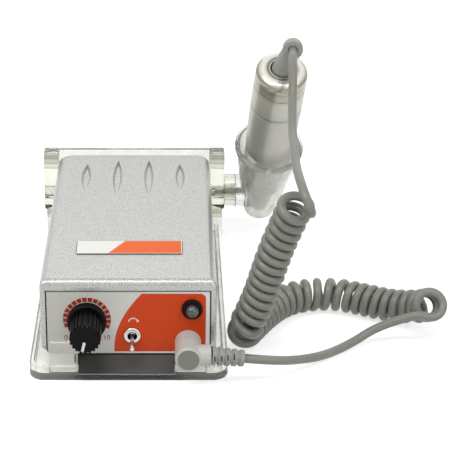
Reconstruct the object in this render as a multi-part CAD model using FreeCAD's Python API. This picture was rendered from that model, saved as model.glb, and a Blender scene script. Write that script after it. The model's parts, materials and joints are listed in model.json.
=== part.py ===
import FreeCAD, Part
import bisect
import math
import os
from FreeCAD import Vector

# Nail drill machine: a control box in a clear desk cradle, a handpiece in a
# tilting cup and a curly cord between them. Millimetres, +Z up, -Y towards
# the user. The origin lies on the table under the middle of the control box.

# Control box
box_width = 63.5
box_length = 127.0
half_width = box_width / 2
half_length = box_length / 2
shell_bottom = 7.2
shell_top = 36.6
shell_wall = 2.0
shell_side_wall = 2.4
front_wall = 2.6
top_edge_radius = 2.8
bottom_edge_radius = 3.5
rear_corner_radius = 6.0
front_corner_radius = 1.2
boss_radius = 3.0
boss_inset_x = 6.5
boss_inset_y = 9.0
screw_radius = 1.2
screw_head_radius = 2.3
screw_head_height = 1.6
screw_length = 12.0

# Almond recesses in the top and the sides
leaf_count = 4
leaf_depth = 1.1
leaf_slope = 0.75
leaf_mouth = 0.4
leaf_width = 3.8
leaf_pitch = 12.85
leaf_inner_start = 17.0
leaf_inner_end = 55.0
leaf_outer_start = 22.0
leaf_outer_end = 51.0
side_leaf_depth = 1.0
side_leaf_width = 4.2
side_leaf_half_height = 9.0
side_leaf_drop = 7.0
side_leaf_first = 3.8
side_leaf_pitch = 21.0
side_leaf_count = 3

# Label plate on the top
label_length = 39.4
label_width = 12.0
label_thickness = 0.6
label_proud = 0.3
label_y = 28.7 - half_length

# Lower case
case_half_width = half_width - 4.35
case_clearance = 0.2
case_bottom = 6.8
case_floor_top = 9.2
case_front = 2.9 - half_length
case_rear = half_length - 4.1
belly_half_width = half_width - 11.75
belly_front = 0.9 - half_length
belly_rear = half_length - 13.5
belly_edge_radius = 1.6
toe_back = 0.1 - half_length
toe_front = -half_length - 6.4
toe_lip = 0.3
toe_gap = 0.3

# Front panel
panel_half_width = half_width - 2.1
panel_gap = 0.15
panel_bottom = 7.4
panel_top = 32.45
panel_plate = 2.0
panel_overlay_thickness = 0.3
panel_recess = 0.3
panel_corner_radius = 1.2

# Speed knob and its potentiometer
knob_x = 16.85 - half_width
knob_z = 21.1
knob_skirt_radius = 7.05
knob_skirt_height = 3.0
knob_body_radius = 5.2
knob_body_top_radius = 4.95
knob_height = 16.5
knob_lift = 0.8
knob_ribs = 20
knob_rib_radius = 0.42
knob_cavity_radius = 5.5
knob_cavity_depth = 2.6
pointer_width = 1.0
pointer_inner = 1.0
pointer_depth = 0.5
pointer_angle = 13.0
pot_body_radius = 8.0
pot_body_depth = 7.5
pot_shaft_radius = 3.0
pot_bushing_radius = 3.9
pot_bushing_length = 2.2
pot_nut_radius = 5.0
pot_nut_height = 1.4
pot_lug_pitch = 4.0
pot_lug_width = 1.6
pot_lug_thickness = 0.6
pot_lug_length = 2.0
shaft_start = 3.0
shaft_fit = 0.05

# Toggle switch
toggle_x = 1.4
toggle_z = 15.0
toggle_pivot_y = 1.5 - half_length
toggle_angle = 13.0
toggle_reach = 8.5
toggle_tip_radius = 1.0
toggle_root_radius = 0.7
toggle_ball_radius = 1.4
toggle_pin_radius = 0.5
toggle_pin_half = 1.65
toggle_collar = 1.6
switch_bushing_radius = 2.3
switch_bushing_bore = 1.8
switch_nut_radius = 3.05
switch_nut_height = 1.2
switch_body_width = 8.0
switch_body_height = 10.5
switch_body_depth = 9.0
switch_body_drop = 5.6

# Indicator lamp
led_x = half_width - 8.85
led_z = 25.3
led_bezel_radius = 3.75
led_bezel_height = 1.5
led_barrel_radius = 3.1
led_lens_radius = 2.4
led_bezel_bore = 2.5
led_length = 7.6
led_lens_proud = 0.6
led_barrel_proud = 2.0

# Handpiece socket and right-angle plug
plug_x = half_width - 10.25
plug_z = 12.0
plug_radius = 4.8
plug_length = 14.4
plug_gap = 0.1
plug_cap_radius = 3.9
plug_cap_depth = 0.6
plug_arm_radius = 3.9
plug_arm_y = -half_length - 10.3
plug_arm_end = plug_x + 8.1
plug_pin_radius = 1.75
plug_pin_length = 10.0
plug_pin_root = 4.0
plug_pin_tip = 1.6
plug_pin_end_radius = 0.6
plug_pin_groove = 2.8
plug_pin_groove_width = 0.6
plug_grip_ribs = 5
plug_grip_rib_radius = 0.35
plug_grip_rib_pitch = 1.1
plug_grip_start = 2.0
plug_grip_end = 6.5
plug_relief_length = 11.8
plug_relief_core = 2.5
plug_relief_radius = 3.5
plug_relief_rings = 5
plug_relief_ring_width = 1.5
plug_relief_taper = 0.12
plug_relief_tilt = 9.0
plug_relief_yaw = 6.7
jack_radius = 2.6
jack_length = 11.4

# Power parts inside the box
cell_radius = 9.2
cell_length = 65.0
cell_gap = 1.2
cell_rear = half_length - 6.0
cell_seat = 0.2
cell_button_radius = 3.0
cell_button_height = 1.2
cell_rail_height = 5.0
cell_rail_width = 1.2
cell_rail_inset = 1.6
board_half_width = half_width - 6.75
board_rear = cell_rear - cell_length - 4.5
board_front = 18.5 - half_length
board_thickness = 1.6
board_standoff = 1.3
board_standoff_radius = 2.0
board_chip_size = 8.0
board_chip_height = 1.5
board_chip_y = board_rear - 18.0
board_coil_x = 14.0
board_coil_y = board_rear - 7.0
board_coil_radius = 3.2
board_coil_height = 6.0
charge_jack_x = 0.0
charge_jack_z = 17.0
charge_jack_radius = 4.0
charge_jack_bore = 2.75
charge_jack_depth = 5.5
charge_jack_flange = 1.0

# Clear cradle
floor_thickness = 2.4
tray_half_width = half_width + 4.25
tray_front = -half_length - 7.0
tray_rear = half_length + 4.5
tray_corner_radius = 6.0
rim_height = 5.6
rim_wall = 1.8
front_opening_left = 13.35 - half_width
front_opening_right = half_width - 14.75
clip_left_start = 3.45 - half_width
clip_right_end = half_width - 3.75
clip_thickness = 2.2
clip_top = 13.0
clip_foot_front = -half_length - 6.0
clip_bend_low = 5.0
clip_bend_high = 8.6
clip_gap = 1.0
clip_lift = 0.5
right_clip_top = 6.7
post_inner = half_width + 0.45
post_outer = post_inner + 5.4
post_front = half_length - 3.5
post_rear = half_length + 3.0
post_top = 38.0
block_bottom = 12.8
block_outer = post_outer + 0.7
block_front = half_length - 4.7
block_rear = half_length + 3.7
rear_wall_front = half_length + 0.4
rear_window_half_width = 14.0
rear_window_bottom = 8.0
rear_window_top = 27.0

# Tilting holder. Its axis runs along X, and the cup leans from the vertical
pivot_y = half_length - 1.0
pivot_z = 20.0
cup_axis_x = half_width + 22.55
lean_forward = 32.0
lean_right = 3.2
boss_outer_radius = 7.3
boss_end = block_outer + 4.7
boss_face_gap = 0.1
peg_radius = 3.0
peg_end = post_inner + 2.2
cup_wall = 1.5
cup_bottom = -14.0
cup_bottom_radius = 3.6
cup_mid_radius = 8.8
cup_rim_height = 32.0
cup_rim_radius = 13.6
cup_foot = 2.4
cup_bead = 0.5
cup_bead_height = 1.8
pivot_screw_radius = 1.3
pivot_head_radius = 2.3
pivot_head_height = 1.0
pivot_nut_radius = 2.8
pivot_nut_height = 1.6

# Handpiece, measured along its own axis from the holder's pivot
body_clearance = 0.1
nose_tip = -9.0
nose_end = 6.0
nose_tip_radius = 3.5
nose_waist_radius = 5.1
nose_flange_radius = 6.7
nose_bore = 3.0
grip_end = 24.8
grip_radius = 9.45
grip_low_radius = 7.0
grip_shoulder = 17.5
grip_bore = 5.55
spigot_radius = 7.5
spigot_end = 33.0
ring_end = 31.7
ring_radius = 9.7
ring_grooves = 5
ring_groove_depth = 0.35
barrel_start = 31.9
barrel_end = 59.7
barrel_low_radius = 9.8
barrel_radius = 10.3
barrel_mid = 44.0
barrel_bore = 8.6
trim_end = 60.8
trim_radius = 10.2
sleeve_end = 72.0
cap_end = 81.2
cap_hole_radius = 4.6
cap_wall = 1.5
cap_radius = 10.2
cap_shoulder = 2.9
cap_rise = 0.35
part_line = 0.15
can_radius = 8.5
can_wall = 0.9
can_start = 36.5
can_end = 66.0
magnet_thickness = 1.5
magnet_start = 40.5
magnet_end = 60.0
magnet_half_gap = 1.6
rotor_radius = 5.7
rotor_start = 42.0
rotor_end = 58.0
rotor_slots = 5
rotor_slot_width = 1.0
rotor_slot_depth = 3.0
commutator_radius = 3.0
commutator_start = 59.5
commutator_end = 64.0
motor_shaft_radius = 1.5
motor_shaft_end = 69.4
motor_bearing_radius = 3.5
motor_bearing_width = 2.4
spindle_radius = 2.45
spindle_start = 4.2
spindle_end = 35.0
spindle_socket = 6.0
bearing_radius = 5.5
bearing_width = 4.0
first_bearing = 8.0
second_bearing = 27.5
collet_radius = 2.6
collet_start = -9.8
collet_bore = 1.19
collet_slots = 4
collet_slot_width = 0.5
collet_slot_length = 8.0
end_cap_length = 3.0
end_cap_lip = 0.3
shaft_clearance = 0.4
brush_width = 1.6

# Cord boot on the handpiece: a neck that leans to an elbow, and the mouth that the cord leaves
boot_neck_radius = 4.1
boot_flange_radius = 5.6
boot_flange_height = 1.2
boot_start = 77.0
boot_neck_end = 81.2
boot_lean_start = 80.6
boot_top_radius = 3.5
boot_neck_stop = 1.5
boot_elbow_radius = 3.9
boot_mouth_length = 2.8
boot_mouth_edge = 0.6
boot_bore_depth = 1.6
boot_bore_gap = 0.3

# Cord. The points of its free stretches are a route chosen by hand
cord_diameter = 3.2
cord_end_gap = 0.02
cord_upper_route = [
    (62.05, 12.1, 98.9), (61.5, 3.0, 98.4), (61.1, -5.6, 92.6), (60.6, -12.6, 85.6), (59.8, -25.0, 80.8),
    (59.6, -37.0, 78.3), (59.5, -48.3, 75.8), (59.9, -55.8, 74.6), (60.6, -61.8, 73.5)]
cord_lower_route = [
    (101.7, -40.1, 9.5), (93.2, -39.5, 6.3), (83.2, -45.0, 2.1), (72.4, -54.2, 1.75),
    (61.9, -63.0, 4.4), (51.5, -71.2, 8.5)]
coil_hook_place = (63.4, -69.8, 66.4)
coil_hook_way = (0.23, 0.64, -0.88)
cord_lead_runs = 3
cord_low_runs = 3

# Curly part: the line that the curls go round, and the curls themselves
coil_line = [
    (59.5, -61.5, 66.0), (57.0, -57.5, 57.0), (53.0, -55.5, 45.4), (50.4, -54.0, 35.6),
    (47.3, -52.5, 23.6), (40.6, -50.0, 6.6), (49.5, -31.0, 6.6), (58.5, -17.9, 6.6),
    (69.0, -12.5, 6.6), (80.0, -12.0, 6.6), (90.3, -17.0, 6.6), (102.0, -23.5, 6.6),
    (113.0, -30.5, 10.5), (113.0, -41.0, 16.5)]
curl_radius = 4.95
curl_gap = 0.44
curl_open_top = 2.5
curl_open_end = 3.0
curl_open_length = 4.5
curl_start_turn = 0.386
curl_end_cut = 0.43
curl_widest_pitch = 9.0
curl_sides = 6

# Half sizes of the box that the cord's points belong to
route_half_width = 31.75
route_half_length = 63.5


def with_box(points, first, last):
    """Moves the cord's points with the box's side, and its ends by their shares of the change in length."""
    across, along = half_width - route_half_width, half_length - route_half_length
    moved = []
    for number, (x, y, z) in enumerate(points):
        share = first + (last - first) * number / max(1, len(points) - 1)
        moved.append((x + across, y + along * share, z))
    return moved


cord_upper_route = with_box(cord_upper_route, 1, 0)
cord_lower_route = with_box(cord_lower_route, 0, -1)
coil_hook_place = with_box([coil_hook_place], 0, 0)[0]
coil_line = with_box(coil_line, 0, 0)

# Derived places
panel_face = -half_length + panel_recess
plate_face = panel_face + panel_overlay_thickness
plate_back = plate_face + panel_plate
cavity_front = -half_length + front_wall
cavity_half = half_width - shell_side_wall
cavity_rear = half_length - shell_wall
cavity_top = shell_top - shell_wall
curl_spacing = cord_diameter + curl_gap
cup_slope = (cup_rim_radius - cup_mid_radius) / cup_rim_height


def block(x0, x1, y0, y1, z0, z1):
    return Part.makeBox(x1 - x0, y1 - y0, z1 - z0, Vector(x0, y0, z0))


def rod_y(x, z, radius, y0, y1):
    return Part.makeCylinder(radius, y1 - y0, Vector(x, y0, z), Vector(0, 1, 0))


def rod_x(y, z, radius, x0, x1):
    return Part.makeCylinder(radius, x1 - x0, Vector(x0, y, z), Vector(1, 0, 0))


def rod_z(x, y, radius, z0, z1):
    return Part.makeCylinder(radius, z1 - z0, Vector(x, y, z0))


def round_edges(shape, radius, wanted):
    edges = [edge for edge in shape.Edges if wanted(edge)]
    return shape.makeFillet(radius, edges) if edges else shape


def upright(edge):
    ends = [vertex.Point for vertex in edge.Vertexes]
    return len(ends) == 2 and (ends[0] - ends[1]).getAngle(Vector(0, 0, 1)) % math.pi < 0.01


def at_height(z):
    return lambda edge: abs(edge.BoundBox.ZMin - z) < 0.01 and abs(edge.BoundBox.ZMax - z) < 0.01


def rounded_block(x0, x1, y0, y1, z0, z1, radius):
    return round_edges(block(x0, x1, y0, y1, z0, z1), radius, upright)


def revolved(outline):
    """Turns a closed outline about Z: (radius, height) points, or a pair, the middle and end of an arc."""
    corners = [entry if isinstance(entry[0], tuple) else (None, entry) for entry in outline]
    ends = [Vector(radius, 0, height) for _, (radius, height) in corners]
    edges = []
    for start, (middle, _), end in zip(ends, corners[1:] + corners[:1], ends[1:] + ends[:1]):
        edges.append(arc(start, Vector(middle[0], 0, middle[1]) if middle else None, end))
    return Part.Face(Part.Wire(edges)).revolve(Vector(0, 0, 0), Vector(0, 0, 1), 360)


def leaf_wire(centre, along, across, half_length, width):
    """An almond: two arcs that meet in points."""
    tip, tail = centre + along * half_length, centre - along * half_length
    middles = [centre + across * (width / 2), centre - across * (width / 2)]
    return Part.Wire([Part.Arc(tail, middles[0], tip).toShape(), Part.Arc(tip, middles[1], tail).toShape()])


def leaf_pocket(centre, out, along, across, half_length, width, depth):
    """An almond recess with sloping sides. The centre lies on the surface that it is cut into."""
    wires = []
    for height in (-depth, leaf_mouth):
        spread = leaf_slope * height
        size = (half_length + 3 * spread, width + 2 * spread)
        wires.append(leaf_wire(centre + out * height, along, across, *size))
    return Part.makeLoft(wires, True, True)


def along_handpiece(shape):
    turned = shape.copy()
    turned.rotate(Vector(0, 0, 0), Vector(0, 1, 0), lean_right)
    turned.rotate(Vector(0, 0, 0), Vector(1, 0, 0), lean_forward)
    turned.translate(Vector(cup_axis_x, pivot_y, pivot_z))
    return turned


def handpiece_direction():
    forward, right = math.radians(lean_forward), math.radians(lean_right)
    return Vector(math.sin(right), -math.sin(forward) * math.cos(right), math.cos(forward) * math.cos(right))


def handpiece_point(height):
    return Vector(cup_axis_x, pivot_y, pivot_z) + handpiece_direction() * height


# Paths of straight runs and arcs

def arc_middle(start, tangent, end):
    """The middle of the arc from start, along tangent, to end; None where it hardly turns."""
    chord = end - start
    half_turn = tangent.getAngle(chord)
    if half_turn < 1e-4:
        return None
    way = Vector(tangent).normalize() + Vector(chord).normalize()
    return start + way.normalize() * (chord.Length / (2 * math.cos(half_turn / 2)))


def arc(start, middle, end):
    return (Part.Arc(start, middle, end) if middle else Part.LineSegment(start, end)).toShape()


def biarc(start, start_tangent, end, end_tangent):
    chord, both = end - start, start_tangent + end_tangent
    opening = 2 * (1 - start_tangent.dot(end_tangent))
    lean = chord.dot(both)
    if opening < 1e-6:
        reach = chord.dot(chord) / (2 * lean)
    else:
        reach = (-lean + math.sqrt(lean * lean + opening * chord.dot(chord))) / opening
    joint = (start + start_tangent * reach + end - end_tangent * reach) * 0.5
    return [arc(start, arc_middle(start, start_tangent, joint), joint),
            arc(joint, arc_middle(end, end_tangent * -1, joint), end)]


def rounded_path(points):
    """Runs between the points, with each corner rounded as widely as its two runs allow."""
    points = [Vector(*point) for point in points]
    edges, here, radii = [], points[0], []
    for before, corner, after in zip(points, points[1:], points[2:]):
        run_in, run_out = corner - before, after - corner
        turn = run_in.getAngle(run_out)
        cut = 0.45 * min(run_in.Length, run_out.Length)
        radii.append(cut / math.tan(turn / 2))
        start = corner - Vector(run_in).normalize() * cut
        end = corner + Vector(run_out).normalize() * cut
        edges.append(Part.LineSegment(here, start).toShape())
        edges.append(arc(start, arc_middle(start, run_in, end), end))
        here = end
    edges.append(Part.LineSegment(here, points[-1]).toShape())
    return edges, radii


def tube(edges, radius, sides=0):
    path = Part.Wire(edges)
    start = edges[0].Vertexes[0].Point
    direction = edges[0].Vertexes[-1].Point - start
    if sides:
        across = direction.cross(Vector(0, 0, 1)).normalize()
        up = Vector(direction).normalize().cross(across)
        angles = [2 * math.pi * side / sides for side in range(sides)]
        ring = [start + across * (radius * math.cos(a)) + up * (radius * math.sin(a)) for a in angles]
        profile = Part.makePolygon(ring + ring[:1])
    else:
        profile = Part.Wire([Part.Circle(start, direction, radius).toShape()])
    return path.makePipeShell([profile], True, False)


def cord_tube(name, points):
    edges, radii = rounded_path(points)
    solid = tube(edges, cord_diameter / 2)
    length = sum(edge.Length for edge in edges)
    expected = math.pi * (cord_diameter / 2) ** 2 * length
    print(name, "length", round(length, 1), "radii", [round(radius, 1) for radius in radii],
          "volume ratio", round(solid.Volume / expected, 4))
    return solid


# Curly cord

def coil_frames(steps=900):
    """Places along the coil's middle line, each with two directions across it that never twist."""
    count = len(coil_line)
    curve = Part.BSplineCurve()
    knots = list(range(count - 1))
    poles, repeats = [Vector(*point) for point in coil_line], [3] + [1] * (count - 3) + [3]
    curve.buildFromPolesMultsKnots(poles, repeats, knots, False, 2)
    first, last = curve.FirstParameter, curve.LastParameter
    values = [first + (last - first) * i / steps for i in range(steps + 1)]
    places = [curve.value(value) for value in values]
    tangents = [Vector(curve.tangent(value)[0]).normalize() for value in values]
    across = Vector(0, 0, 1)
    frames = []
    for place, tangent in zip(places, tangents):
        across = (across - tangent * across.dot(tangent)).normalize()
        frames.append((place, across, tangent.cross(across)))
    return frames, tangents


def curl_phases(frames, tangents):
    """How many turns the wire has made at each place: one per pitch, wider where the coil bends."""
    steps = [(b[0] - a[0]).Length for a, b in zip(frames, frames[1:])]
    bends = [a.getAngle(b) / step for a, b, step in zip(tangents, tangents[1:], steps)]
    mean_step = sum(steps) / len(steps)
    window = int(3.0 / mean_step)
    phases, travelled = [0.0], 0.0
    for index, step in enumerate(steps):
        near = bends[max(0, index - window):index + window + 1]
        bend = sum(near) / len(near)
        pitch = curl_spacing * 1.01 / (1 - 1.12 * curl_radius * bend)
        pitch = min(pitch, curl_widest_pitch) + curl_open_top * math.exp(-travelled / curl_open_length)
        pitch += curl_open_end * math.exp((travelled - sum(steps)) / curl_open_length)
        travelled += step
        phases.append(phases[-1] + step / pitch)
    return phases


def curl_wire():
    """A function that gives the wire's centre after some turns, and the number of turns."""
    frames, tangents = coil_frames()
    phases = curl_phases(frames, tangents)

    def place(turn):
        index = min(bisect.bisect_right(phases, turn), len(phases) - 1) - 1
        share = (turn - phases[index]) / (phases[index + 1] - phases[index])
        middle, across, up = (a + (b - a) * share for a, b in zip(frames[index], frames[index + 1]))
        angle = 2 * math.pi * (curl_start_turn - turn)
        return middle + (across * math.cos(angle) + up * math.sin(angle)) * curl_radius

    return place, phases[-1] - curl_end_cut


def least_gap(places):
    """The least distance between stretches of the wire that aren't next to each other, and where."""
    along, best = [0.0], (1e9, 0.0, 0.0)
    for a, b in zip(places, places[1:]):
        along.append(along[-1] + (b - a).Length)
    for i in range(0, len(places), 2):
        for j in range(i + 1, len(places)):
            if along[j] - along[i] > 2.5 * cord_diameter:
                best = min(best, ((places[i] - places[j]).Length, along[i], along[j]))
    return best


def coil_edges():
    """The wire's path: out of the upper stretch, round the curls and into the lower stretch."""
    place, turns = curl_wire()
    half_turns = round(2 * turns)
    top = [Vector(*point) for point in cord_upper_route[-2:]]
    low = [Vector(*point) for point in cord_lower_route[:2]]
    top_way, low_way = (top[1] - top[0]).normalize(), (low[1] - low[0]).normalize()
    first, last = top[1] + top_way * cord_diameter, low[0] - low_way * cord_diameter
    stations = [(first, top_way), (Vector(*coil_hook_place), Vector(*coil_hook_way).normalize())]
    for number in range(half_turns + 1):
        turn = turns * number / half_turns
        stations.append((place(turn), (place(turn + 0.02) - place(turn - 0.02)).normalize()))
    stations.append((last, low_way))
    edges = [Part.LineSegment(top[1], first).toShape()]
    for (start, start_way), (end, end_way) in zip(stations, stations[1:]):
        edges += biarc(start, start_way, end, end_way)
    edges.append(Part.LineSegment(last, low[0]).toShape())
    return edges, turns


def points_along(edges, per_edge=5):
    steps = [(edge, k / per_edge) for edge in edges for k in range(per_edge)]
    return [edge.valueAt(edge.FirstParameter + (edge.LastParameter - edge.FirstParameter) * share)
            for edge, share in steps]


def make_cord_coil():
    edges, turns = coil_edges()
    places = points_along(edges)
    gap = least_gap(places)
    radii = [edge.Curve.Radius for edge in edges if hasattr(edge.Curve, "Radius")]
    lowest = min(place.z for place in places) - cord_diameter / 2
    print("cord_coil turns", round(turns, 2), "wire", round(sum(edge.Length for edge in edges), 1),
          "least gap", round(gap[0] - cord_diameter, 3), "at", [round(value) for value in gap[1:]],
          "least radius", round(min(radii), 2), "lowest", round(lowest, 2))
    return tube(edges, cord_diameter / 2, curl_sides)


def make_upper_housing():
    half, back = half_width, half_length
    shell = block(-half, half, -back, back, shell_bottom, shell_top)
    shell = round_edges(shell, rear_corner_radius, lambda e: upright(e) and e.BoundBox.YMin > 0)
    shell = round_edges(shell, front_corner_radius,
                        lambda e: upright(e) and e.BoundBox.YMax < -back + 0.01)
    shell = round_edges(shell, top_edge_radius, at_height(shell_top))
    shell = round_edges(shell, bottom_edge_radius,
                        lambda e: at_height(shell_bottom)(e) and e.BoundBox.YMax > -back + 1.5)
    cavity = block(-cavity_half, cavity_half, cavity_front, cavity_rear, case_floor_top, cavity_top)
    cavity = round_edges(cavity, rear_corner_radius - shell_wall,
                         lambda e: upright(e) and e.BoundBox.YMin > 0)
    open_half, under_half = panel_half_width + panel_gap, case_half_width + case_clearance
    opening = block(-open_half, open_half, -back - 1, cavity_front + 0.01, shell_bottom - 1,
                    panel_top + panel_gap)
    below = block(-under_half, under_half, -back - 1, case_rear + case_clearance, shell_bottom - 1,
                  case_floor_top + 0.01)
    bosses, cuts = [], leaf_cuts() + [label_recess(), charge_hole()]
    for x, y in screw_places():
        bosses.append(rod_z(x, y, boss_radius, case_floor_top + 0.05, cavity_top + 0.5))
        cuts.append(rod_z(x, y, screw_radius, case_floor_top - 1, case_floor_top + screw_length))
    return shell.cut([cavity, opening, below]).fuse(bosses).cut(cuts).removeSplitter()


def screw_places():
    x, y = cavity_half - boss_inset_x, half_length - boss_inset_y
    return [(sx * x, sy) for sx in (1, -1) for sy in (-y + 6.0, y - 2.0)]


def leaf_cuts():
    ahead, side_way, up = Vector(0, 1, 0), Vector(1, 0, 0), Vector(0, 0, 1)
    cuts = []
    for number in range(leaf_count):
        x = (number - (leaf_count - 1) / 2) * leaf_pitch
        inner = 0 < number < leaf_count - 1
        start, end = (leaf_inner_start, leaf_inner_end) if inner else (leaf_outer_start, leaf_outer_end)
        centre = Vector(x, (start + end) / 2, shell_top)
        cuts.append(leaf_pocket(centre, up, ahead, side_way, (end - start) / 2, leaf_width, leaf_depth))
    for side in (1, -1):
        for number in range(side_leaf_count):
            y = side_leaf_first + side_leaf_pitch * number
            centre = Vector(side * half_width, y, shell_top - side_leaf_drop)
            size = (side_leaf_half_height, side_leaf_width, side_leaf_depth)
            cuts.append(leaf_pocket(centre, side_way * side, up, ahead, *size))
    return cuts


def label_block(grow, bottom, top):
    half, wide = label_length / 2 + grow, label_width / 2 + grow
    return rounded_block(-half, half, label_y - wide, label_y + wide, bottom, top, 1.0)


def label_recess():
    return label_block(0.1, shell_top - label_thickness + label_proud, shell_top + 1)


def make_top_label():
    return label_block(0, shell_top - label_thickness + label_proud, shell_top + label_proud)


def charge_hole():
    return rod_y(charge_jack_x, charge_jack_z, charge_jack_radius + 0.1, cavity_rear - 1, half_length + 1)


def make_lower_case():
    plate = block(-case_half_width, case_half_width, case_front, case_rear, case_bottom, case_floor_top)
    belly = block(-belly_half_width, belly_half_width, belly_front, belly_rear, floor_thickness, case_bottom)
    belly = round_edges(belly, belly_edge_radius, upright)
    toe = front_toe()
    rails = []
    for x in cell_axes():
        for side in (1, -1):
            rail_x = x + side * (cell_radius - cell_rail_inset)
            rails.append(block(rail_x - cell_rail_width / 2, rail_x + cell_rail_width / 2,
                               cell_rear - cell_length, cell_rear,
                               case_floor_top, case_floor_top + cell_rail_height))
    cells = [cell_body(x, 0.25) for x in cell_axes()]
    feet = [rod_z(x, y, board_standoff_radius, case_floor_top, case_floor_top + board_standoff)
            for x in (-board_half_width + 4, board_half_width - 4) for y in (board_front + 4, board_rear - 4)]
    holes = []
    for x, y in screw_places():
        low = floor_thickness - 1
        holes.append(rod_z(x, y, screw_radius + 0.1, low, case_floor_top + 1))
        holes.append(rod_z(x, y, screw_head_radius + 0.2, low, case_bottom + screw_head_height))
    return plate.fuse([belly, toe] + rails + feet).cut(cells + holes).removeSplitter()


def front_toe():
    """The case's dark foot, which slopes down to the mouth of the cradle between its two clips."""
    root = belly_front + 1
    outline = [(root, case_bottom), (toe_back, case_bottom), (toe_front, floor_thickness + toe_lip),
               (toe_front, floor_thickness), (root, floor_thickness)]
    start, end = front_opening_left + toe_gap, front_opening_right - toe_gap
    points = [Vector(start, y, z) for y, z in outline]
    return Part.Face(Part.makePolygon(points + points[:1])).extrude(Vector(end - start, 0, 0))


def cell_axes():
    offset = cell_radius + cell_gap / 2
    return (-offset, offset)


def cell_body(x, grow=0.0):
    height = case_floor_top + cell_seat + cell_radius
    return rod_y(x, height, cell_radius + grow, cell_rear - cell_length - grow, cell_rear + grow)


def make_battery_cells():
    height = case_floor_top + cell_seat + cell_radius
    cells = []
    for x in cell_axes():
        button = rod_y(x, height, cell_button_radius, cell_rear - 0.01, cell_rear + cell_button_height)
        cells.append(cell_body(x).fuse(button).removeSplitter())
    return Part.makeCompound(cells)


def make_housing_screws():
    screws = []
    for x, y in screw_places():
        top = case_bottom + screw_head_height
        head = rod_z(x, y, screw_head_radius, case_bottom, top)
        stem = rod_z(x, y, screw_radius - 0.05, top, case_floor_top + screw_length - 1)
        screws.append(head.fuse(stem).removeSplitter())
    return Part.makeCompound(screws)


def make_circuit_board():
    bottom = case_floor_top + board_standoff
    top = bottom + board_thickness
    board = block(-board_half_width, board_half_width, board_front, board_rear, bottom, top)
    chip = block(-board_chip_size / 2, board_chip_size / 2, board_chip_y, board_chip_y + board_chip_size,
                 top, top + board_chip_height)
    coils = [rod_z(x, board_coil_y, board_coil_radius, top, top + board_coil_height)
             for x in (-board_coil_x, board_coil_x)]
    return board.fuse([chip] + coils).removeSplitter()


def make_charging_jack():
    back = half_length
    barrel = rod_y(charge_jack_x, charge_jack_z, charge_jack_radius, back - charge_jack_depth, back - 0.2)
    flange = rod_y(charge_jack_x, charge_jack_z, charge_jack_radius + 1.0,
                   cavity_rear - charge_jack_flange - 0.05, cavity_rear - 0.05)
    bore = rod_y(charge_jack_x, charge_jack_z, charge_jack_bore, back - charge_jack_depth + 1.0, back + 1)
    pin = rod_y(charge_jack_x, charge_jack_z, 0.65, back - charge_jack_depth, back - 1.0)
    return barrel.fuse(flange).cut(bore).fuse(pin).removeSplitter()


def panel_blank(y0, y1):
    plate = block(-panel_half_width, panel_half_width, y0, y1, panel_bottom, panel_top)
    plate = round_edges(plate, panel_corner_radius,
                        lambda e: e.BoundBox.YLength > (y1 - y0) - 0.01 and e.BoundBox.ZLength < 0.01)
    openings = [(knob_x, knob_z, pot_bushing_radius), (toggle_x, toggle_z, switch_bushing_radius),
                (led_x, led_z, led_barrel_radius), (plug_x, plug_z, jack_radius)]
    return plate.cut([rod_y(x, z, radius + shaft_fit, y0 - 1, y1 + 1) for x, z, radius in openings])


def make_front_panel():
    return panel_blank(plate_face, plate_back)


def make_panel_overlay():
    return panel_blank(panel_face, plate_face)


def make_speed_knob():
    back = panel_face - knob_lift
    front = panel_face - knob_height
    skirt_front = back - knob_skirt_height
    skirt = rod_y(knob_x, knob_z, knob_skirt_radius, skirt_front, back)
    skirt = round_edges(skirt, 0.7, lambda e: abs(e.BoundBox.YMax - skirt_front) < 0.01)
    core = Part.makeCone(knob_body_top_radius, knob_body_radius, skirt_front - front + 0.2,
                         Vector(knob_x, front, knob_z), Vector(0, 1, 0))
    ribs = []
    for number in range(knob_ribs):
        angle = 2 * math.pi * number / knob_ribs
        x, z = knob_x + knob_body_radius * math.cos(angle), knob_z + knob_body_radius * math.sin(angle)
        ribs.append(rod_y(x, z, knob_rib_radius, front + 0.4, skirt_front + 0.1))
    cavity = rod_y(knob_x, knob_z, knob_cavity_radius, back - knob_cavity_depth, back + 1)
    bore = rod_y(knob_x, knob_z, pot_shaft_radius, front + shaft_start, back + 1)
    return skirt.fuse([core] + ribs).cut([cavity, bore, knob_pointer_block(0.0)]).removeSplitter()


def knob_pointer_block(back_off):
    front = panel_face - knob_height
    length = knob_body_top_radius - 0.35 - pointer_inner
    bar = block(-pointer_width / 2, pointer_width / 2, front - 1 + back_off, front + pointer_depth,
                -pointer_inner - length, -pointer_inner)
    bar.rotate(Vector(0, 0, 0), Vector(0, 1, 0), pointer_angle)
    bar.translate(Vector(knob_x, 0, knob_z))
    return bar


def make_knob_pointer():
    return knob_pointer_block(1.0 - 0.05)


def make_pot_shaft():
    front = panel_face - knob_height + shaft_start
    return rod_y(knob_x, knob_z, pot_shaft_radius, front, plate_back + shaft_start)


def make_pot_bushing():
    front = panel_face - pot_bushing_length
    sleeve = rod_y(knob_x, knob_z, pot_bushing_radius, front, plate_back)
    return sleeve.cut(rod_y(knob_x, knob_z, pot_shaft_radius + shaft_fit, front - 1, plate_back + 1))


def make_pot_nut():
    corners = []
    for number in range(6):
        angle = math.radians(60 * number)
        corners.append(Vector(knob_x + pot_nut_radius * math.cos(angle), panel_face - pot_nut_height,
                              knob_z + pot_nut_radius * math.sin(angle)))
    nut = Part.Face(Part.makePolygon(corners + corners[:1])).extrude(Vector(0, pot_nut_height, 0))
    return nut.cut(rod_y(knob_x, knob_z, pot_bushing_radius, panel_face - pot_nut_height - 1, panel_face + 1))


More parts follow.
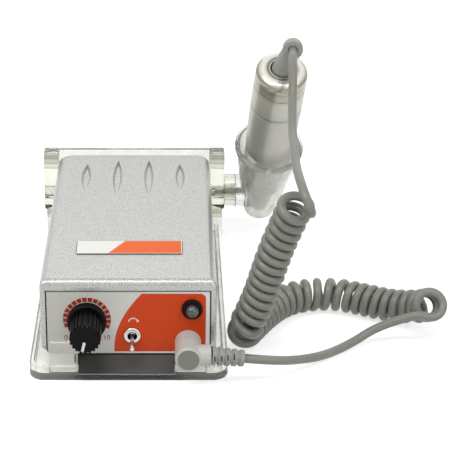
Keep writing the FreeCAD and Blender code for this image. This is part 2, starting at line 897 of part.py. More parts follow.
def make_pot_body():
    can = rod_y(knob_x, knob_z, pot_body_radius, plate_back, plate_back + pot_body_depth)
    low = knob_z - pot_body_radius
    lugs = []
    for number in (-1, 0, 1):
        x = knob_x + number * pot_lug_pitch
        lugs.append(block(x - pot_lug_width / 2, x + pot_lug_width / 2, plate_back + pot_lug_length,
                          plate_back + pot_lug_length + pot_lug_thickness, low - pot_lug_length, low + 1))
    bore = rod_y(knob_x, knob_z, pot_shaft_radius + shaft_fit, plate_back - 1, plate_back + shaft_start + 0.3)
    return can.fuse(lugs).cut(bore).removeSplitter()


def make_switch_body():
    low = toggle_z - switch_body_drop
    body = block(toggle_x - switch_body_width / 2, toggle_x + switch_body_width / 2, plate_back,
                 plate_back + switch_body_depth, low, low + switch_body_height)
    return body.cut(rod_y(toggle_x, toggle_z, switch_bushing_bore, plate_back - 1, plate_back + 4.0))


def make_switch_bushing():
    front = panel_face - switch_nut_height - 0.3
    sleeve = rod_y(toggle_x, toggle_z, switch_bushing_radius, front, plate_back)
    return sleeve.cut(rod_y(toggle_x, toggle_z, switch_bushing_bore, front - 1, plate_back + 1))


def make_switch_nut():
    front = panel_face - switch_nut_height
    ring = rod_y(toggle_x, toggle_z, switch_nut_radius, front, panel_face)
    ring = round_edges(ring, 0.3, lambda e: abs(e.BoundBox.YMax - front) < 0.01)
    return ring.cut(rod_y(toggle_x, toggle_z, switch_bushing_radius, front - 1, panel_face + 1))


def make_toggle_lever():
    ball, root, tip = toggle_ball_radius, toggle_root_radius, toggle_tip_radius
    ball_top = math.sqrt(ball ** 2 - root ** 2)
    lever = revolved([(0, -ball), ((ball, 0), (root, ball_top)), (root, toggle_collar), (tip, toggle_reach),
                      (tip * 0.7, toggle_reach + 0.8), (0, toggle_reach + 1.0)])
    pin = rod_x(0, 0, toggle_pin_radius, -toggle_pin_half, toggle_pin_half)
    lever = lever.fuse(pin).removeSplitter()
    lever.rotate(Vector(0, 0, 0), Vector(1, 0, 0), 90 + toggle_angle)
    lever.translate(Vector(toggle_x, toggle_pivot_y, toggle_z))
    return lever


def make_led_bezel():
    front = panel_face - led_bezel_height
    flange = rod_y(led_x, led_z, led_bezel_radius, front, panel_face)
    flange = round_edges(flange, 0.5, lambda e: abs(e.BoundBox.YMax - front) < 0.01)
    back = plate_back + led_barrel_proud
    barrel = rod_y(led_x, led_z, led_barrel_radius, panel_face - 0.1, back)
    return flange.fuse(barrel).cut(rod_y(led_x, led_z, led_bezel_bore, front - 1, back + 1)).removeSplitter()


def make_led_lens():
    front = panel_face - led_bezel_height - led_lens_proud
    body = rod_y(led_x, led_z, led_lens_radius, front, front + led_length)
    dome = Part.makeSphere(led_lens_radius, Vector(led_x, front, led_z))
    return body.fuse(dome).removeSplitter()


def make_motor_jack():
    barrel = rod_y(plug_x, plug_z, jack_radius, panel_face, panel_face + jack_length)
    bore_end = panel_face + plug_pin_length + 1.0
    return barrel.cut(rod_y(plug_x, plug_z, plug_pin_radius + shaft_fit, panel_face - 1, bore_end))


def make_plug_body():
    back = panel_face - plug_gap
    front = back - plug_length
    body = rod_y(plug_x, plug_z, plug_radius, front, back)
    body = round_edges(body, 0.8, lambda e: abs(e.BoundBox.YMax - front) < 0.01)
    arm = rod_x(plug_arm_y, plug_z, plug_arm_radius, plug_x, plug_arm_end)
    ribs = []
    for number in range(plug_grip_ribs):
        offset = (number - (plug_grip_ribs - 1) / 2) * plug_grip_rib_pitch
        rib_z = plug_z + math.sqrt(plug_radius ** 2 - offset ** 2)
        ribs.append(rod_y(plug_x + offset, rib_z, plug_grip_rib_radius, back - plug_grip_end,
                          back - plug_grip_start))
    recess = rod_y(plug_x, plug_z, plug_cap_radius, front - 1, front + plug_cap_depth)
    bore = rod_y(plug_x, plug_z, plug_pin_radius, back - plug_pin_root, back + 1)
    return body.fuse([arm] + ribs).cut([recess, bore]).removeSplitter()


def make_plug_cap():
    front = panel_face - plug_gap - plug_length
    return rod_y(plug_x, plug_z, plug_cap_radius, front + 0.1, front + plug_cap_depth)


def make_plug_pin():
    back = panel_face - plug_gap
    end = back + plug_pin_length
    stem = rod_y(plug_x, plug_z, plug_pin_radius, back - plug_pin_root, end - plug_pin_tip)
    shoulder = Vector(plug_x, end - plug_pin_tip, plug_z)
    tip = Part.makeCone(plug_pin_radius, plug_pin_end_radius, plug_pin_tip, shoulder, Vector(0, 1, 0))
    groove_start = end - plug_pin_groove - plug_pin_groove_width
    groove = rod_y(plug_x, plug_z, plug_pin_radius + 1, groove_start, groove_start + plug_pin_groove_width)
    groove = groove.cut(rod_y(plug_x, plug_z, plug_pin_radius - 0.3, back, end))
    return stem.fuse(tip).cut(groove).removeSplitter()


def relief_way():
    tilt, yaw = math.radians(plug_relief_tilt), math.radians(plug_relief_yaw)
    return Vector(math.cos(tilt) * math.cos(yaw), math.cos(tilt) * math.sin(yaw), -math.sin(tilt))


def relief_end():
    return Vector(plug_arm_end, plug_arm_y, plug_z) + relief_way() * plug_relief_length


def make_plug_strain_relief():
    start, way = Vector(plug_arm_end, plug_arm_y, plug_z), relief_way()
    core = Part.makeCone(plug_relief_core + 0.4, plug_relief_core, plug_relief_length, start, way)
    step = (plug_relief_length - plug_relief_ring_width) / (plug_relief_rings - 1)
    rings = []
    for number in range(plug_relief_rings):
        radius = plug_relief_radius - plug_relief_taper * number
        rings.append(Part.makeCylinder(radius, plug_relief_ring_width, start + way * (step * number), way))
    relief = core.fuse(rings).removeSplitter()
    reach = 2 * plug_relief_radius
    behind = block(plug_arm_end - reach, plug_arm_end + 0.02, plug_arm_y - reach, plug_arm_y + reach,
                   plug_z - reach, plug_z + reach)
    return relief.cut(behind)


def make_cradle():
    half, inner_half = tray_half_width, tray_half_width - rim_wall
    tray = rounded_block(-half, half, tray_front, tray_rear, 0, rim_height, tray_corner_radius)
    inside = rounded_block(-inner_half, inner_half, tray_front + rim_wall, tray_rear - rim_wall,
                           floor_thickness, rim_height + 1, tray_corner_radius - rim_wall)
    mouth = block(front_opening_left, front_opening_right, tray_front - 1, tray_front + rim_wall + 1,
                  floor_thickness, rim_height + 1)
    tray = tray.cut([inside, mouth])
    pieces = [front_clip(clip_left_start, front_opening_left, clip_top),
              front_clip(front_opening_right, clip_right_end, right_clip_top)]
    for side in (1, -1):
        low, high = sorted((side * post_inner, side * post_outer))
        pieces.append(block(low, high, post_front, post_rear, 0, post_top))
        low, high = sorted((side * post_inner, side * block_outer))
        upper = block(low, high, block_front, block_rear, block_bottom, post_top)
        upper = round_edges(upper, 0.8, upright)
        pieces.append(upper)
    wall = block(-post_inner - 1, post_inner + 1, rear_wall_front, post_rear, floor_thickness - 1, post_top)
    window = block(-rear_window_half_width, rear_window_half_width, rear_wall_front - 1, post_rear + 1,
                   rear_window_bottom, rear_window_top)
    window = round_edges(window, 2.5, lambda e: e.BoundBox.YLength > 2)
    pieces.append(wall.cut(window))
    sockets = [rod_x(pivot_y, pivot_z, peg_radius + shaft_fit, post_inner - 1, block_outer + 1),
               rod_x(pivot_y, pivot_z, peg_radius + shaft_fit, -block_outer - 1, -post_inner + 1)]
    return tray.fuse(pieces).cut(sockets).removeSplitter()


def front_clip(x0, x1, top):
    """A bent strip that stands in front of the control box's lower edge."""
    face = -half_length - clip_gap
    front, foot = face - clip_thickness, clip_foot_front
    inner_foot = foot + clip_thickness
    if top > clip_bend_high + 1:
        upper = [(front, clip_bend_high), (front, top), (face, top), (face, clip_bend_high - 0.9),
                 (inner_foot, clip_bend_low - 0.9)]
    else:
        upper = [(front - 1.0, top), (face, top), (face, top - 1.8), (front - 0.4, top - 1.8),
                 (inner_foot, clip_bend_low - 1.2)]
    outline = [(foot, clip_lift), (foot, clip_bend_low)] + upper + [(inner_foot, clip_lift)]
    points = [Vector(x0, y, z) for y, z in outline]
    return Part.Face(Part.makePolygon(points + points[:1])).extrude(Vector(x1 - x0, 0, 0))


def make_swivel_boss():
    boss = rod_x(pivot_y, pivot_z, boss_outer_radius, block_outer, boss_end)
    boss = round_edges(boss, 0.5, lambda e: abs(e.BoundBox.XMin - boss_end) < 0.01)
    return boss.cut(rod_x(pivot_y, pivot_z, peg_radius + shaft_fit, block_outer - 1, boss_end + 1))


def cup_radius(height):
    return cup_mid_radius + cup_slope * height


def make_holder_cup():
    top, rim, wall = cup_rim_height, cup_rim_radius, cup_wall
    low = cup_bottom + cup_foot
    foot_radius = cup_radius(low) - cup_bead
    bead_low = top - cup_bead_height
    outer = revolved([(0, cup_bottom), (cup_bottom_radius, cup_bottom), (foot_radius, low),
                      (cup_mid_radius, 0), (cup_radius(bead_low), bead_low), (rim + cup_bead, top - wall),
                      (rim + cup_bead, top - cup_bead), (rim, top), (0, top)])
    inner = revolved([(0, cup_bottom + wall), (cup_bottom_radius - 0.8, cup_bottom + wall),
                      (foot_radius - wall, low + 0.6), (cup_mid_radius - wall, 0), (rim - wall, top),
                      (rim - wall, top + 5), (0, top + 5)])
    hub = rod_x(pivot_y, pivot_z, boss_outer_radius, boss_end + boss_face_gap, cup_axis_x - 2.0)
    peg = rod_x(pivot_y, pivot_z, peg_radius, peg_end, boss_end + 1.0)
    bore = rod_x(pivot_y, pivot_z, pivot_screw_radius, peg_end - 1, cup_axis_x)
    seat = rod_x(pivot_y, pivot_z, pivot_head_radius + boss_face_gap, screw_head_x(), cup_axis_x)
    cup = along_handpiece(outer).fuse([hub, peg])
    return cup.cut([along_handpiece(inner), bore, seat]).removeSplitter()


def screw_head_x():
    return cup_axis_x - cup_mid_radius + cup_wall


def make_pivot_screw():
    head_x = screw_head_x()
    head = rod_x(pivot_y, pivot_z, pivot_head_radius, head_x, head_x + pivot_head_height)
    stem = rod_x(pivot_y, pivot_z, pivot_screw_radius - 0.05, peg_end - pivot_nut_height, head_x + 0.1)
    return head.fuse(stem).removeSplitter()


def make_pivot_nut():
    nut = rod_x(pivot_y, pivot_z, pivot_nut_radius, peg_end - pivot_nut_height - 0.05, peg_end - 0.05)
    return nut.cut(rod_x(pivot_y, pivot_z, pivot_screw_radius, peg_end - 4, peg_end + 1))


def make_nose_cone():
    outer = [(nose_tip_radius, nose_tip), (nose_tip_radius + 0.7, nose_tip + 2.5), (nose_waist_radius, 2.8),
             (nose_flange_radius - 0.4, 4.6), (nose_flange_radius, nose_end), (nose_bore, nose_end),
             (nose_bore, nose_tip)]
    return along_handpiece(revolved(outer))


def make_front_grip():
    start = nose_end + part_line
    outer = [(grip_bore, start), (grip_low_radius, start), (grip_low_radius + 1.0, start + 4.0),
             (grip_radius - 0.25, grip_shoulder - 3.0), (grip_radius, grip_shoulder), (grip_radius, grip_end),
             (spigot_radius, grip_end), (spigot_radius, spigot_end), (grip_bore, spigot_end)]
    return along_handpiece(revolved(outer))


def make_twist_ring():
    start = grip_end + part_line
    ring = revolved([(spigot_radius + body_clearance, start), (ring_radius, start), (ring_radius, ring_end),
                     (spigot_radius + body_clearance, ring_end)])
    pitch = (ring_end - start) / (ring_grooves + 1)
    half, outside = pitch * 0.44, ring_radius + 0.5
    grooves = []
    for number in range(ring_grooves):
        middle = start + pitch * (number + 1)
        grooves.append(revolved([(ring_radius - ring_groove_depth, middle), (outside, middle - half),
                                 (outside, middle + half)]))
    return along_handpiece(ring.cut(grooves))


def make_barrel():
    seat, step = spigot_radius + 0.02, spigot_end + 0.6
    return along_handpiece(revolved([(seat, barrel_start), (barrel_low_radius, barrel_start),
                                     (barrel_low_radius + 0.3, barrel_mid), (barrel_radius, barrel_end),
                                     (barrel_bore, barrel_end), (barrel_bore, step), (seat, step)]))


def make_trim_ring():
    start = barrel_end + part_line
    return along_handpiece(revolved([(barrel_bore, start), (trim_radius, start), (trim_radius, trim_end),
                                     (barrel_bore, trim_end)]))


def make_rear_sleeve():
    start = trim_end + part_line
    return along_handpiece(revolved([(barrel_bore, start), (barrel_radius, start),
                                     (barrel_radius - 0.05, sleeve_end), (barrel_bore, sleeve_end)]))


def make_rear_cap():
    start, lip = sleeve_end + part_line, cap_end
    inside = cap_radius - cap_wall
    top_radius, top = cap_radius - cap_shoulder, lip - cap_rise
    bulge = cap_shoulder * math.sqrt(0.5)
    return along_handpiece(revolved([
        (inside, start), (cap_radius, start), (cap_radius, top - cap_shoulder),
        ((top_radius + bulge, top - cap_shoulder + bulge), (top_radius, top)), (cap_hole_radius + 0.2, lip),
        (cap_hole_radius, lip - 0.2), (cap_hole_radius, lip - cap_wall), (top_radius, top - cap_wall),
        (inside, top - cap_shoulder)]))


def make_motor_can():
    shaft_hole, inner = motor_shaft_radius + shaft_clearance, can_radius - can_wall
    collar = motor_bearing_radius + 0.8
    floor = can_start + can_wall
    front = floor + motor_bearing_width
    return along_handpiece(revolved([(shaft_hole, can_start), (can_radius, can_start), (can_radius, can_end),
                                     (inner, can_end), (inner, floor), (collar, floor), (collar, front),
                                     (motor_bearing_radius, front), (motor_bearing_radius, floor),
                                     (shaft_hole, floor)]))


def motor_bearing_places():
    return (can_start + can_wall + 0.05, can_end + 0.4)


def bearing_ring(inner, outer, start, width):
    return revolved([(inner, start), (outer, start), (outer, start + width), (inner, start + width)])


def make_motor_bearings():
    inner, outer = motor_shaft_radius + shaft_fit, motor_bearing_radius - 0.02
    return Part.makeCompound([along_handpiece(bearing_ring(inner, outer, start, motor_bearing_width - 0.1))
                              for start in motor_bearing_places()])


def make_motor_magnets():
    outer = can_radius - can_wall - 0.02
    ring = revolved([(outer - magnet_thickness, magnet_start), (outer, magnet_start), (outer, magnet_end),
                     (outer - magnet_thickness, magnet_end)])
    gap = block(-magnet_half_gap, magnet_half_gap, -can_radius, can_radius, magnet_start - 1, magnet_end + 1)
    return along_handpiece(ring.cut(gap))


def make_motor_end_cap():
    start = can_end + part_line / 3
    top = start + end_cap_length
    shaft_hole = motor_shaft_radius + shaft_clearance
    return along_handpiece(revolved([(motor_bearing_radius, start), (can_radius, start), (can_radius, top),
                                     (shaft_hole, top), (shaft_hole, top - end_cap_lip),
                                     (motor_bearing_radius, top - end_cap_lip)]))


def make_motor_brushes():
    brushes = []
    for side in (1, -1):
        low, high = sorted((side * (commutator_radius + 0.3), side * (can_radius - can_wall - 0.3)))
        brushes.append(along_handpiece(block(low, high, -brush_width / 2, brush_width / 2,
                                             commutator_start + 1.0, commutator_end - 0.8)))
    return Part.makeCompound(brushes)


def make_rotor_core():
    core = revolved([(motor_shaft_radius, rotor_start), (rotor_radius, rotor_start),
                     (rotor_radius, rotor_end), (motor_shaft_radius, rotor_end)])
    slot_bottom, half = rotor_radius - rotor_slot_depth, rotor_slot_width / 2
    slots = []
    for number in range(rotor_slots):
        slot = block(slot_bottom, rotor_radius + 1, -half, half, rotor_start - 1, rotor_end + 1)
        slot.rotate(Vector(0, 0, 0), Vector(0, 0, 1), 360 * number / rotor_slots)
        slots.append(slot)
    return along_handpiece(core.cut(slots))


def make_commutator():
    return along_handpiece(bearing_ring(motor_shaft_radius, commutator_radius, commutator_start,
                                        commutator_end - commutator_start))


def make_motor_shaft():
    low = spindle_end - 6.0
    shaft = Part.makeCylinder(motor_shaft_radius, motor_shaft_end - low, Vector(0, 0, low))
    return along_handpiece(shaft)


def make_spindle():
    low = Vector(0, 0, spindle_end - spindle_socket)
    body = Part.makeCylinder(spindle_radius, spindle_end - spindle_start, Vector(0, 0, spindle_start))
    return along_handpiece(body.cut(Part.makeCylinder(motor_shaft_radius, spindle_socket + 1, low)))


def make_spindle_bearings():
    inner = spindle_radius + shaft_fit
    return Part.makeCompound([along_handpiece(bearing_ring(inner, bearing_radius, start, bearing_width))
                              for start in (first_bearing, second_bearing)])


def make_collet():
    body = revolved([(collet_bore, collet_start), (collet_radius - 0.7, collet_start),
                     (collet_radius, collet_start + 2.5), (collet_radius, spindle_start - 0.02),
                     (collet_bore, spindle_start - 0.02)])
    slots = []
    for number in range(collet_slots):
        slot = block(0, collet_radius + 1, -collet_slot_width / 2, collet_slot_width / 2, collet_start - 1,
                     collet_start + collet_slot_length)
        slot.rotate(Vector(0, 0, 0), Vector(0, 0, 1), 360 * number / collet_slots)
        slots.append(slot)
    return along_handpiece(body.cut(slots))


def make_cord_boot():
    flange_top = boot_start + boot_flange_height
    foot = revolved([(0, boot_start), (boot_flange_radius, boot_start), (boot_flange_radius, flange_top),
                     (boot_neck_radius, flange_top), (boot_neck_radius, boot_neck_end), (0, boot_neck_end)])
    way = Vector(*cord_upper_route[1]) - Vector(*cord_upper_route[0])
    way.normalize()
    seat = Vector(*cord_upper_route[0]) - way * cord_end_gap
    elbow = seat - way * (boot_mouth_length - boot_bore_depth)
    ball, edge, length = boot_elbow_radius, boot_mouth_edge, boot_mouth_length
    slant, bend = ball * math.sqrt(0.5), edge * (1 - math.sqrt(0.5))
    mouth = revolved([(0, -ball), ((slant, -slant), (ball, 0)), (ball, length - edge),
                      ((ball - bend, length - bend), (ball - edge, length)), (0, length)])
    mouth.Placement = FreeCAD.Placement(elbow, FreeCAD.Rotation(Vector(0, 0, 1), way))
    start = handpiece_point(boot_lean_start)
    lean = elbow - start
    neck = Part.makeCone(boot_neck_radius, boot_top_radius, lean.Length - boot_neck_stop, start, lean)
    bore = Part.makeCylinder(cord_diameter / 2 + boot_bore_gap, boot_bore_depth + 1, seat, way)
    return along_handpiece(foot).fuse([neck, mouth]).cut(bore).removeSplitter()


def seam_of(route, run):
    """The middle of a run, where two stretches of cord meet."""
    return (Vector(*route[run]) + Vector(*route[run + 1])) * 0.5


def make_cord_lead():
    seam = seam_of(cord_upper_route, cord_lead_runs)
    return cord_tube("cord_lead", cord_upper_route[:cord_lead_runs + 1] + [tuple(seam)])


def make_cord_upper():
    seam = seam_of(cord_upper_route, cord_lead_runs)
    return cord_tube("cord_upper", [tuple(seam)] + cord_upper_route[cord_lead_runs + 1:])


def make_cord_lower():
    seam = seam_of(cord_lower_route, cord_low_runs)
    return cord_tube("cord_lower", cord_lower_route[:cord_low_runs + 1] + [tuple(seam)])


def make_cord_tail():
    seam = seam_of(cord_lower_route, cord_low_runs)
    end = relief_end() + relief_way() * cord_end_gap
    points = cord_lower_route[cord_low_runs + 1:] + [tuple(end)]
    return cord_tube("cord_tail", [tuple(seam)] + points)


makers = {
    "cradle": make_cradle, "swivel_boss": make_swivel_boss, "holder_cup": make_holder_cup,
    "pivot_screw": make_pivot_screw, "pivot_nut": make_pivot_nut, "upper_housing": make_upper_housing,
    "lower_case": make_lower_case, "top_label": make_top_label, "front_panel": make_front_panel,
    "panel_overlay": make_panel_overlay, "housing_screws": make_housing_screws,
    "battery_cells": make_battery_cells, "circuit_board": make_circuit_board,
    "charging_jack": make_charging_jack, "speed_knob": make_speed_knob,
    "knob_pointer": make_knob_pointer, "pot_shaft": make_pot_shaft, "pot_bushing": make_pot_bushing,
    "pot_nut": make_pot_nut, "pot_body": make_pot_body, "switch_body": make_switch_body,
    "switch_bushing": make_switch_bushing, "switch_nut": make_switch_nut,
    "toggle_lever": make_toggle_lever, "led_bezel": make_led_bezel, "led_lens": make_led_lens,
    "motor_jack": make_motor_jack, "plug_body": make_plug_body, "plug_cap": make_plug_cap,
    "plug_pin": make_plug_pin, "plug_strain_relief": make_plug_strain_relief,
    "nose_cone": make_nose_cone, "front_grip": make_front_grip, "twist_ring": make_twist_ring,
    "barrel": make_barrel, "trim_ring": make_trim_ring, "rear_sleeve": make_rear_sleeve,
    "rear_cap": make_rear_cap, "motor_can": make_motor_can, "motor_bearings": make_motor_bearings,
    "motor_magnets": make_motor_magnets, "motor_end_cap": make_motor_end_cap,
    "motor_brushes": make_motor_brushes, "rotor_core": make_rotor_core, "commutator": make_commutator,
    "motor_shaft": make_motor_shaft, "spindle": make_spindle, "spindle_bearings": make_spindle_bearings,
    "collet": make_collet, "cord_boot": make_cord_boot, "cord_lead": make_cord_lead,
    "cord_upper": make_cord_upper, "cord_coil": make_cord_coil, "cord_lower": make_cord_lower,
    "cord_tail": make_cord_tail}

os.makedirs("parts", exist_ok=True)
for node, make in makers.items():
    shape = make()
    if not shape.isValid() or shape.Volume <= 0:
        print("check", node, shape.isValid(), shape.Volume)
    shape.exportStep("parts/" + node + ".step")
print(len(makers), "nodes")
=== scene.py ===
import json
import math
import bisect
import bpy
import bmesh
from mathutils import Matrix, Vector


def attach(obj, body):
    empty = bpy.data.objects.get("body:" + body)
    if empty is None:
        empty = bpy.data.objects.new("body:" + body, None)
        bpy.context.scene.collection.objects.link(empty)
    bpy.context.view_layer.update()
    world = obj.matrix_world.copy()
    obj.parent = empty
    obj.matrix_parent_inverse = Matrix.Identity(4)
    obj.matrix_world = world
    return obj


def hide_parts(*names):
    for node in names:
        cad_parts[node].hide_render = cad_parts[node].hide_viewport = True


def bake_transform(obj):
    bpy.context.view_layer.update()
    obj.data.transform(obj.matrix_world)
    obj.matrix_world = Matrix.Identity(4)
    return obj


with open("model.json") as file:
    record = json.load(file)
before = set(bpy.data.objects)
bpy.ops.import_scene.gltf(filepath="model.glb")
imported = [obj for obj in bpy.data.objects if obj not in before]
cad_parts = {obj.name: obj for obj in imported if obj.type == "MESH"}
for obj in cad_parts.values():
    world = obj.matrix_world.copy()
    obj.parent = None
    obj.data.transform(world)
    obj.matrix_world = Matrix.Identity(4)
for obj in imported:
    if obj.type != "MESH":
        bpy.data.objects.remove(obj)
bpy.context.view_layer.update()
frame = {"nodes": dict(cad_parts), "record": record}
print("CAD nodes loaded:", len(frame["nodes"]))
mm = 0.001


# Camera, lights and floor

view = {"focal": 134.94, "sensor": 36, "near": 0.01, "far": 20, "pitch": 23.3, "place": (13.9, -606.0, 292.0),
        "shiftX": 0.1281}
studio = {"floorSize": 6.0, "floorDrop": 0.00002, "floorGrey": 0.66, "floorRough": 0.9, "floorShine": 0.1,
          "floorGlow": 0.68, "skyLight": 0.36}
# Each lamp's place, target, size and power
lamps = {"key": ((-0.5, -0.55, 0.9), (0.02, 0, 0.02), (0.5, 0.5), 2.7),
         "strip": ((0.0, -0.36, 0.9), (0.02, -0.05, 0.03), (1.3, 0.14), 3.8),
         "fill": ((0.75, -0.7, 0.5), (0.02, 0, 0.02), (0.6, 0.4), 1.2),
         "rim": ((0.1, 0.9, 0.7), (0.02, 0, 0.03), (0.9, 0.3), 1.1)}


def placeCamera():
    data = bpy.data.cameras.new("camera")
    data.lens, data.sensor_width = view["focal"], view["sensor"]
    data.shift_x = view["shiftX"]
    data.clip_start, data.clip_end = view["near"], view["far"]
    camera = bpy.data.objects.new("camera", data)
    camera.location = Vector(view["place"]) * mm
    camera.rotation_euler = (math.radians(90 - view["pitch"]), 0, 0)
    bpy.context.collection.objects.link(camera)
    bpy.context.scene.camera = camera


def areaLight(name, place, target, size, power):
    data = bpy.data.lights.new(name, "AREA")
    data.shape, data.size, data.size_y, data.energy = "RECTANGLE", size[0], size[1], power
    light = bpy.data.objects.new(name, data)
    light.location = place
    light.rotation_euler = (Vector(target) - Vector(place)).to_track_quat("-Z", "Y").to_euler()
    bpy.context.collection.objects.link(light)


# Shader maths as Python expressions

class Wire:
    def __init__(self, paint, socket):
        self.paint, self.socket = paint, socket

    def calc(self, operation, *others):
        return self.paint.node("ShaderNodeMath", {"operation": operation}, [self, *others])

    def __add__(self, other):
        return self.calc("ADD", other)

    def __sub__(self, other):
        return self.calc("SUBTRACT", other)

    def __rsub__(self, other):
        return self.paint.node("ShaderNodeMath", {"operation": "SUBTRACT"}, [other, self])

    def __mul__(self, other):
        return self.calc("MULTIPLY", other)

    def __truediv__(self, other):
        return self.calc("DIVIDE", other)

    def __gt__(self, other):
        return self.calc("GREATER_THAN", other)

    def __lt__(self, other):
        return self.calc("LESS_THAN", other)

    def __abs__(self):
        return self.calc("ABSOLUTE")

    __radd__ = __add__
    __rmul__ = __mul__

    def ramp(self, start, end):  # 0 below start, 1 above end, for start < end
        return self.paint.node("ShaderNodeMapRange", {"clamp": True}, [self, start, end, 0.0, 1.0])


class Paint:
    def __init__(self, name):
        self.material = bpy.data.materials.new(name)
        self.material.use_nodes = True
        self.tree = self.material.node_tree
        self.tree.nodes.clear()
        self.shader = self.tree.nodes.new("ShaderNodeBsdfPrincipled")
        self.output = self.tree.nodes.new("ShaderNodeOutputMaterial")
        self.tree.links.new(self.shader.outputs[0], self.output.inputs["Surface"])

    def node(self, kind, settings=None, values=(), output=0):
        made = self.tree.nodes.new(kind)
        for key, value in (settings or {}).items():
            if key == "stops":
                for number, (place, colour) in enumerate(value):
                    ramp = made.color_ramp.elements
                    element = ramp[number] if number < len(ramp) else ramp.new(place)
                    element.position, element.color = place, (*colour, 1)
            else:
                setattr(made, key, value)
        given = values.items() if isinstance(values, dict) else enumerate(values)
        for key, value in given:
            self.put(made.inputs[key], value)
        return Wire(self, made.outputs[output])

    def put(self, socket, value):
        if isinstance(value, Wire):
            self.tree.links.new(value.socket, socket)
        elif value is not None:
            wanted = socket.default_value
            if hasattr(wanted, "__len__") and len(value) == 3 and len(wanted) == 4:
                value = (*value, 1)
            socket.default_value = value

    def set(self, **looks):
        for key, value in looks.items():
            self.put(self.shader.inputs[socketNames.get(key, key)], value)
        return self

    def place(self, scale=(1, 1, 1), lean=0.0):
        coordinates = self.node("ShaderNodeTexCoord", output="Object")
        if lean:
            coordinates = self.node("ShaderNodeVectorRotate", {"rotation_type": "X_AXIS"},
                                    {"Vector": coordinates, "Angle": lean})
        if scale == (1, 1, 1):
            return coordinates
        return self.node("ShaderNodeVectorMath", {"operation": "MULTIPLY"}, [coordinates, scale])

    def axes(self):
        split = self.node("ShaderNodeSeparateXYZ", values=[self.place()])
        return [Wire(self, socket) for socket in split.socket.node.outputs]

    def noise(self, scale, detail=2.0, rough=0.5, stretch=(1, 1, 1), lean=0.0):
        return self.node("ShaderNodeTexNoise", values={"Vector": self.place(stretch, lean), "Scale": scale,
                                                       "Detail": detail, "Roughness": rough}, output="Fac")

    def mix(self, factor, first, second):
        made = self.node("ShaderNodeMix", {"data_type": "RGBA"}, output=2)
        inputs = made.socket.node.inputs
        self.put(inputs[0], factor)
        self.put(inputs[6], first)
        self.put(inputs[7], second)
        return made

    def bump(self, height, distance, strength=1.0):
        values = {"Height": height, "Distance": distance, "Strength": strength}
        return self.node("ShaderNodeBump", values=values)


socketNames = {"colour": "Base Color", "metal": "Metallic", "rough": "Roughness", "ior": "IOR",
               "normal": "Normal", "transmission": "Transmission Weight", "coat": "Coat Weight",
               "coatRough": "Coat Roughness", "specular": "Specular IOR Level", "alpha": "Alpha"}
silverLook = {"flakeScale": 2300, "dark": (0.26, 0.264, 0.25), "light": (0.66, 0.665, 0.64),
              "bumpHeight": 0.00006, "mottleScale": 330, "mottle": (0.7, 0.7, 0.68), "mottleShare": 0.16}


def silverPaint():
    paint = Paint("silverPaint")
    look = silverLook
    flakes = paint.noise(look["flakeScale"], 3, 0.7)
    mottle = paint.noise(look["mottleScale"], 3, 0.6)
    colour = paint.mix(flakes.ramp(0.36, 0.64), look["dark"], look["light"])
    colour = paint.mix(mottle.ramp(0.3, 0.7) * look["mottleShare"], colour, look["mottle"])
    return paint.set(colour=colour, metal=0.5, rough=flakes * 0.12 + 0.26, coat=0.35, coatRough=0.16,
                     specular=0.3, normal=paint.bump(flakes, look["bumpHeight"], 0.6))


mouldLook = {"grainScale": 2400, "grainHeight": 0.00005, "wearScale": 120, "wearSpread": 0.12}


def mouldedPlastic(name, colour, rough=0.4, spread=0.12, specular=0.5):
    paint = Paint(name)
    look = mouldLook
    speckle = paint.noise(look["grainScale"], 3, 0.55)
    wear = paint.noise(look["wearScale"], 2, 0.5)
    dark = tuple(c * (1 - spread) for c in colour)
    light = tuple(min(1, c * (1 + spread)) for c in colour)
    roughness = wear * look["wearSpread"] + (rough - look["wearSpread"] / 2)
    return paint.set(colour=paint.mix(speckle, dark, light), rough=roughness, specular=specular,
                     normal=paint.bump(speckle, look["grainHeight"], 0.6))


clearLook = {"tint": (0.8, 0.8, 0.75), "pale": (0.93, 0.93, 0.89), "clear": 0.9, "roughLow": 0.02,
             "roughHigh": 0.07, "wave": 0.35, "streakScale": 90, "stretch": (1, 1, 1)}
cupLook = {"tint": (0.93, 0.93, 0.88), "pale": (1.0, 1.0, 0.97), "clear": 0.84, "roughLow": 0.05,
           "roughHigh": 0.3, "wave": 0.3, "streakScale": 260, "stretch": (1, 1, 0.04)}
glass = {"ior": 1.49, "waveHeight": 0.0004}
# Painted shade and refracted light on the posts' thick blocks: colour bands by height in mm
postShadeBands = [
    (0.0, (0.94, 0.94, 0.9)), (8.3, (0.94, 0.94, 0.9)), (8.6, (0.42, 0.42, 0.34)),
    (12.7, (0.5, 0.5, 0.41)), (13.2, (0.86, 0.86, 0.77)), (31.3, (0.9, 0.9, 0.81)),
    (31.6, (0.3, 0.3, 0.24)), (32.3, (0.56, 0.56, 0.47)), (35.2, (0.5, 0.5, 0.42)),
    (35.9, (0.24, 0.24, 0.19)), (37.6, (0.32, 0.32, 0.26)), (38.0, (0.66, 0.66, 0.57))]
postTop = postShadeBands[-1][0]
postPlace = {"side": 32.1, "front": 55.0}
# The cradle floor's thin edge lets the table show
floorEdge = {"low": 0.5, "high": 2.3, "alpha": 0.5}


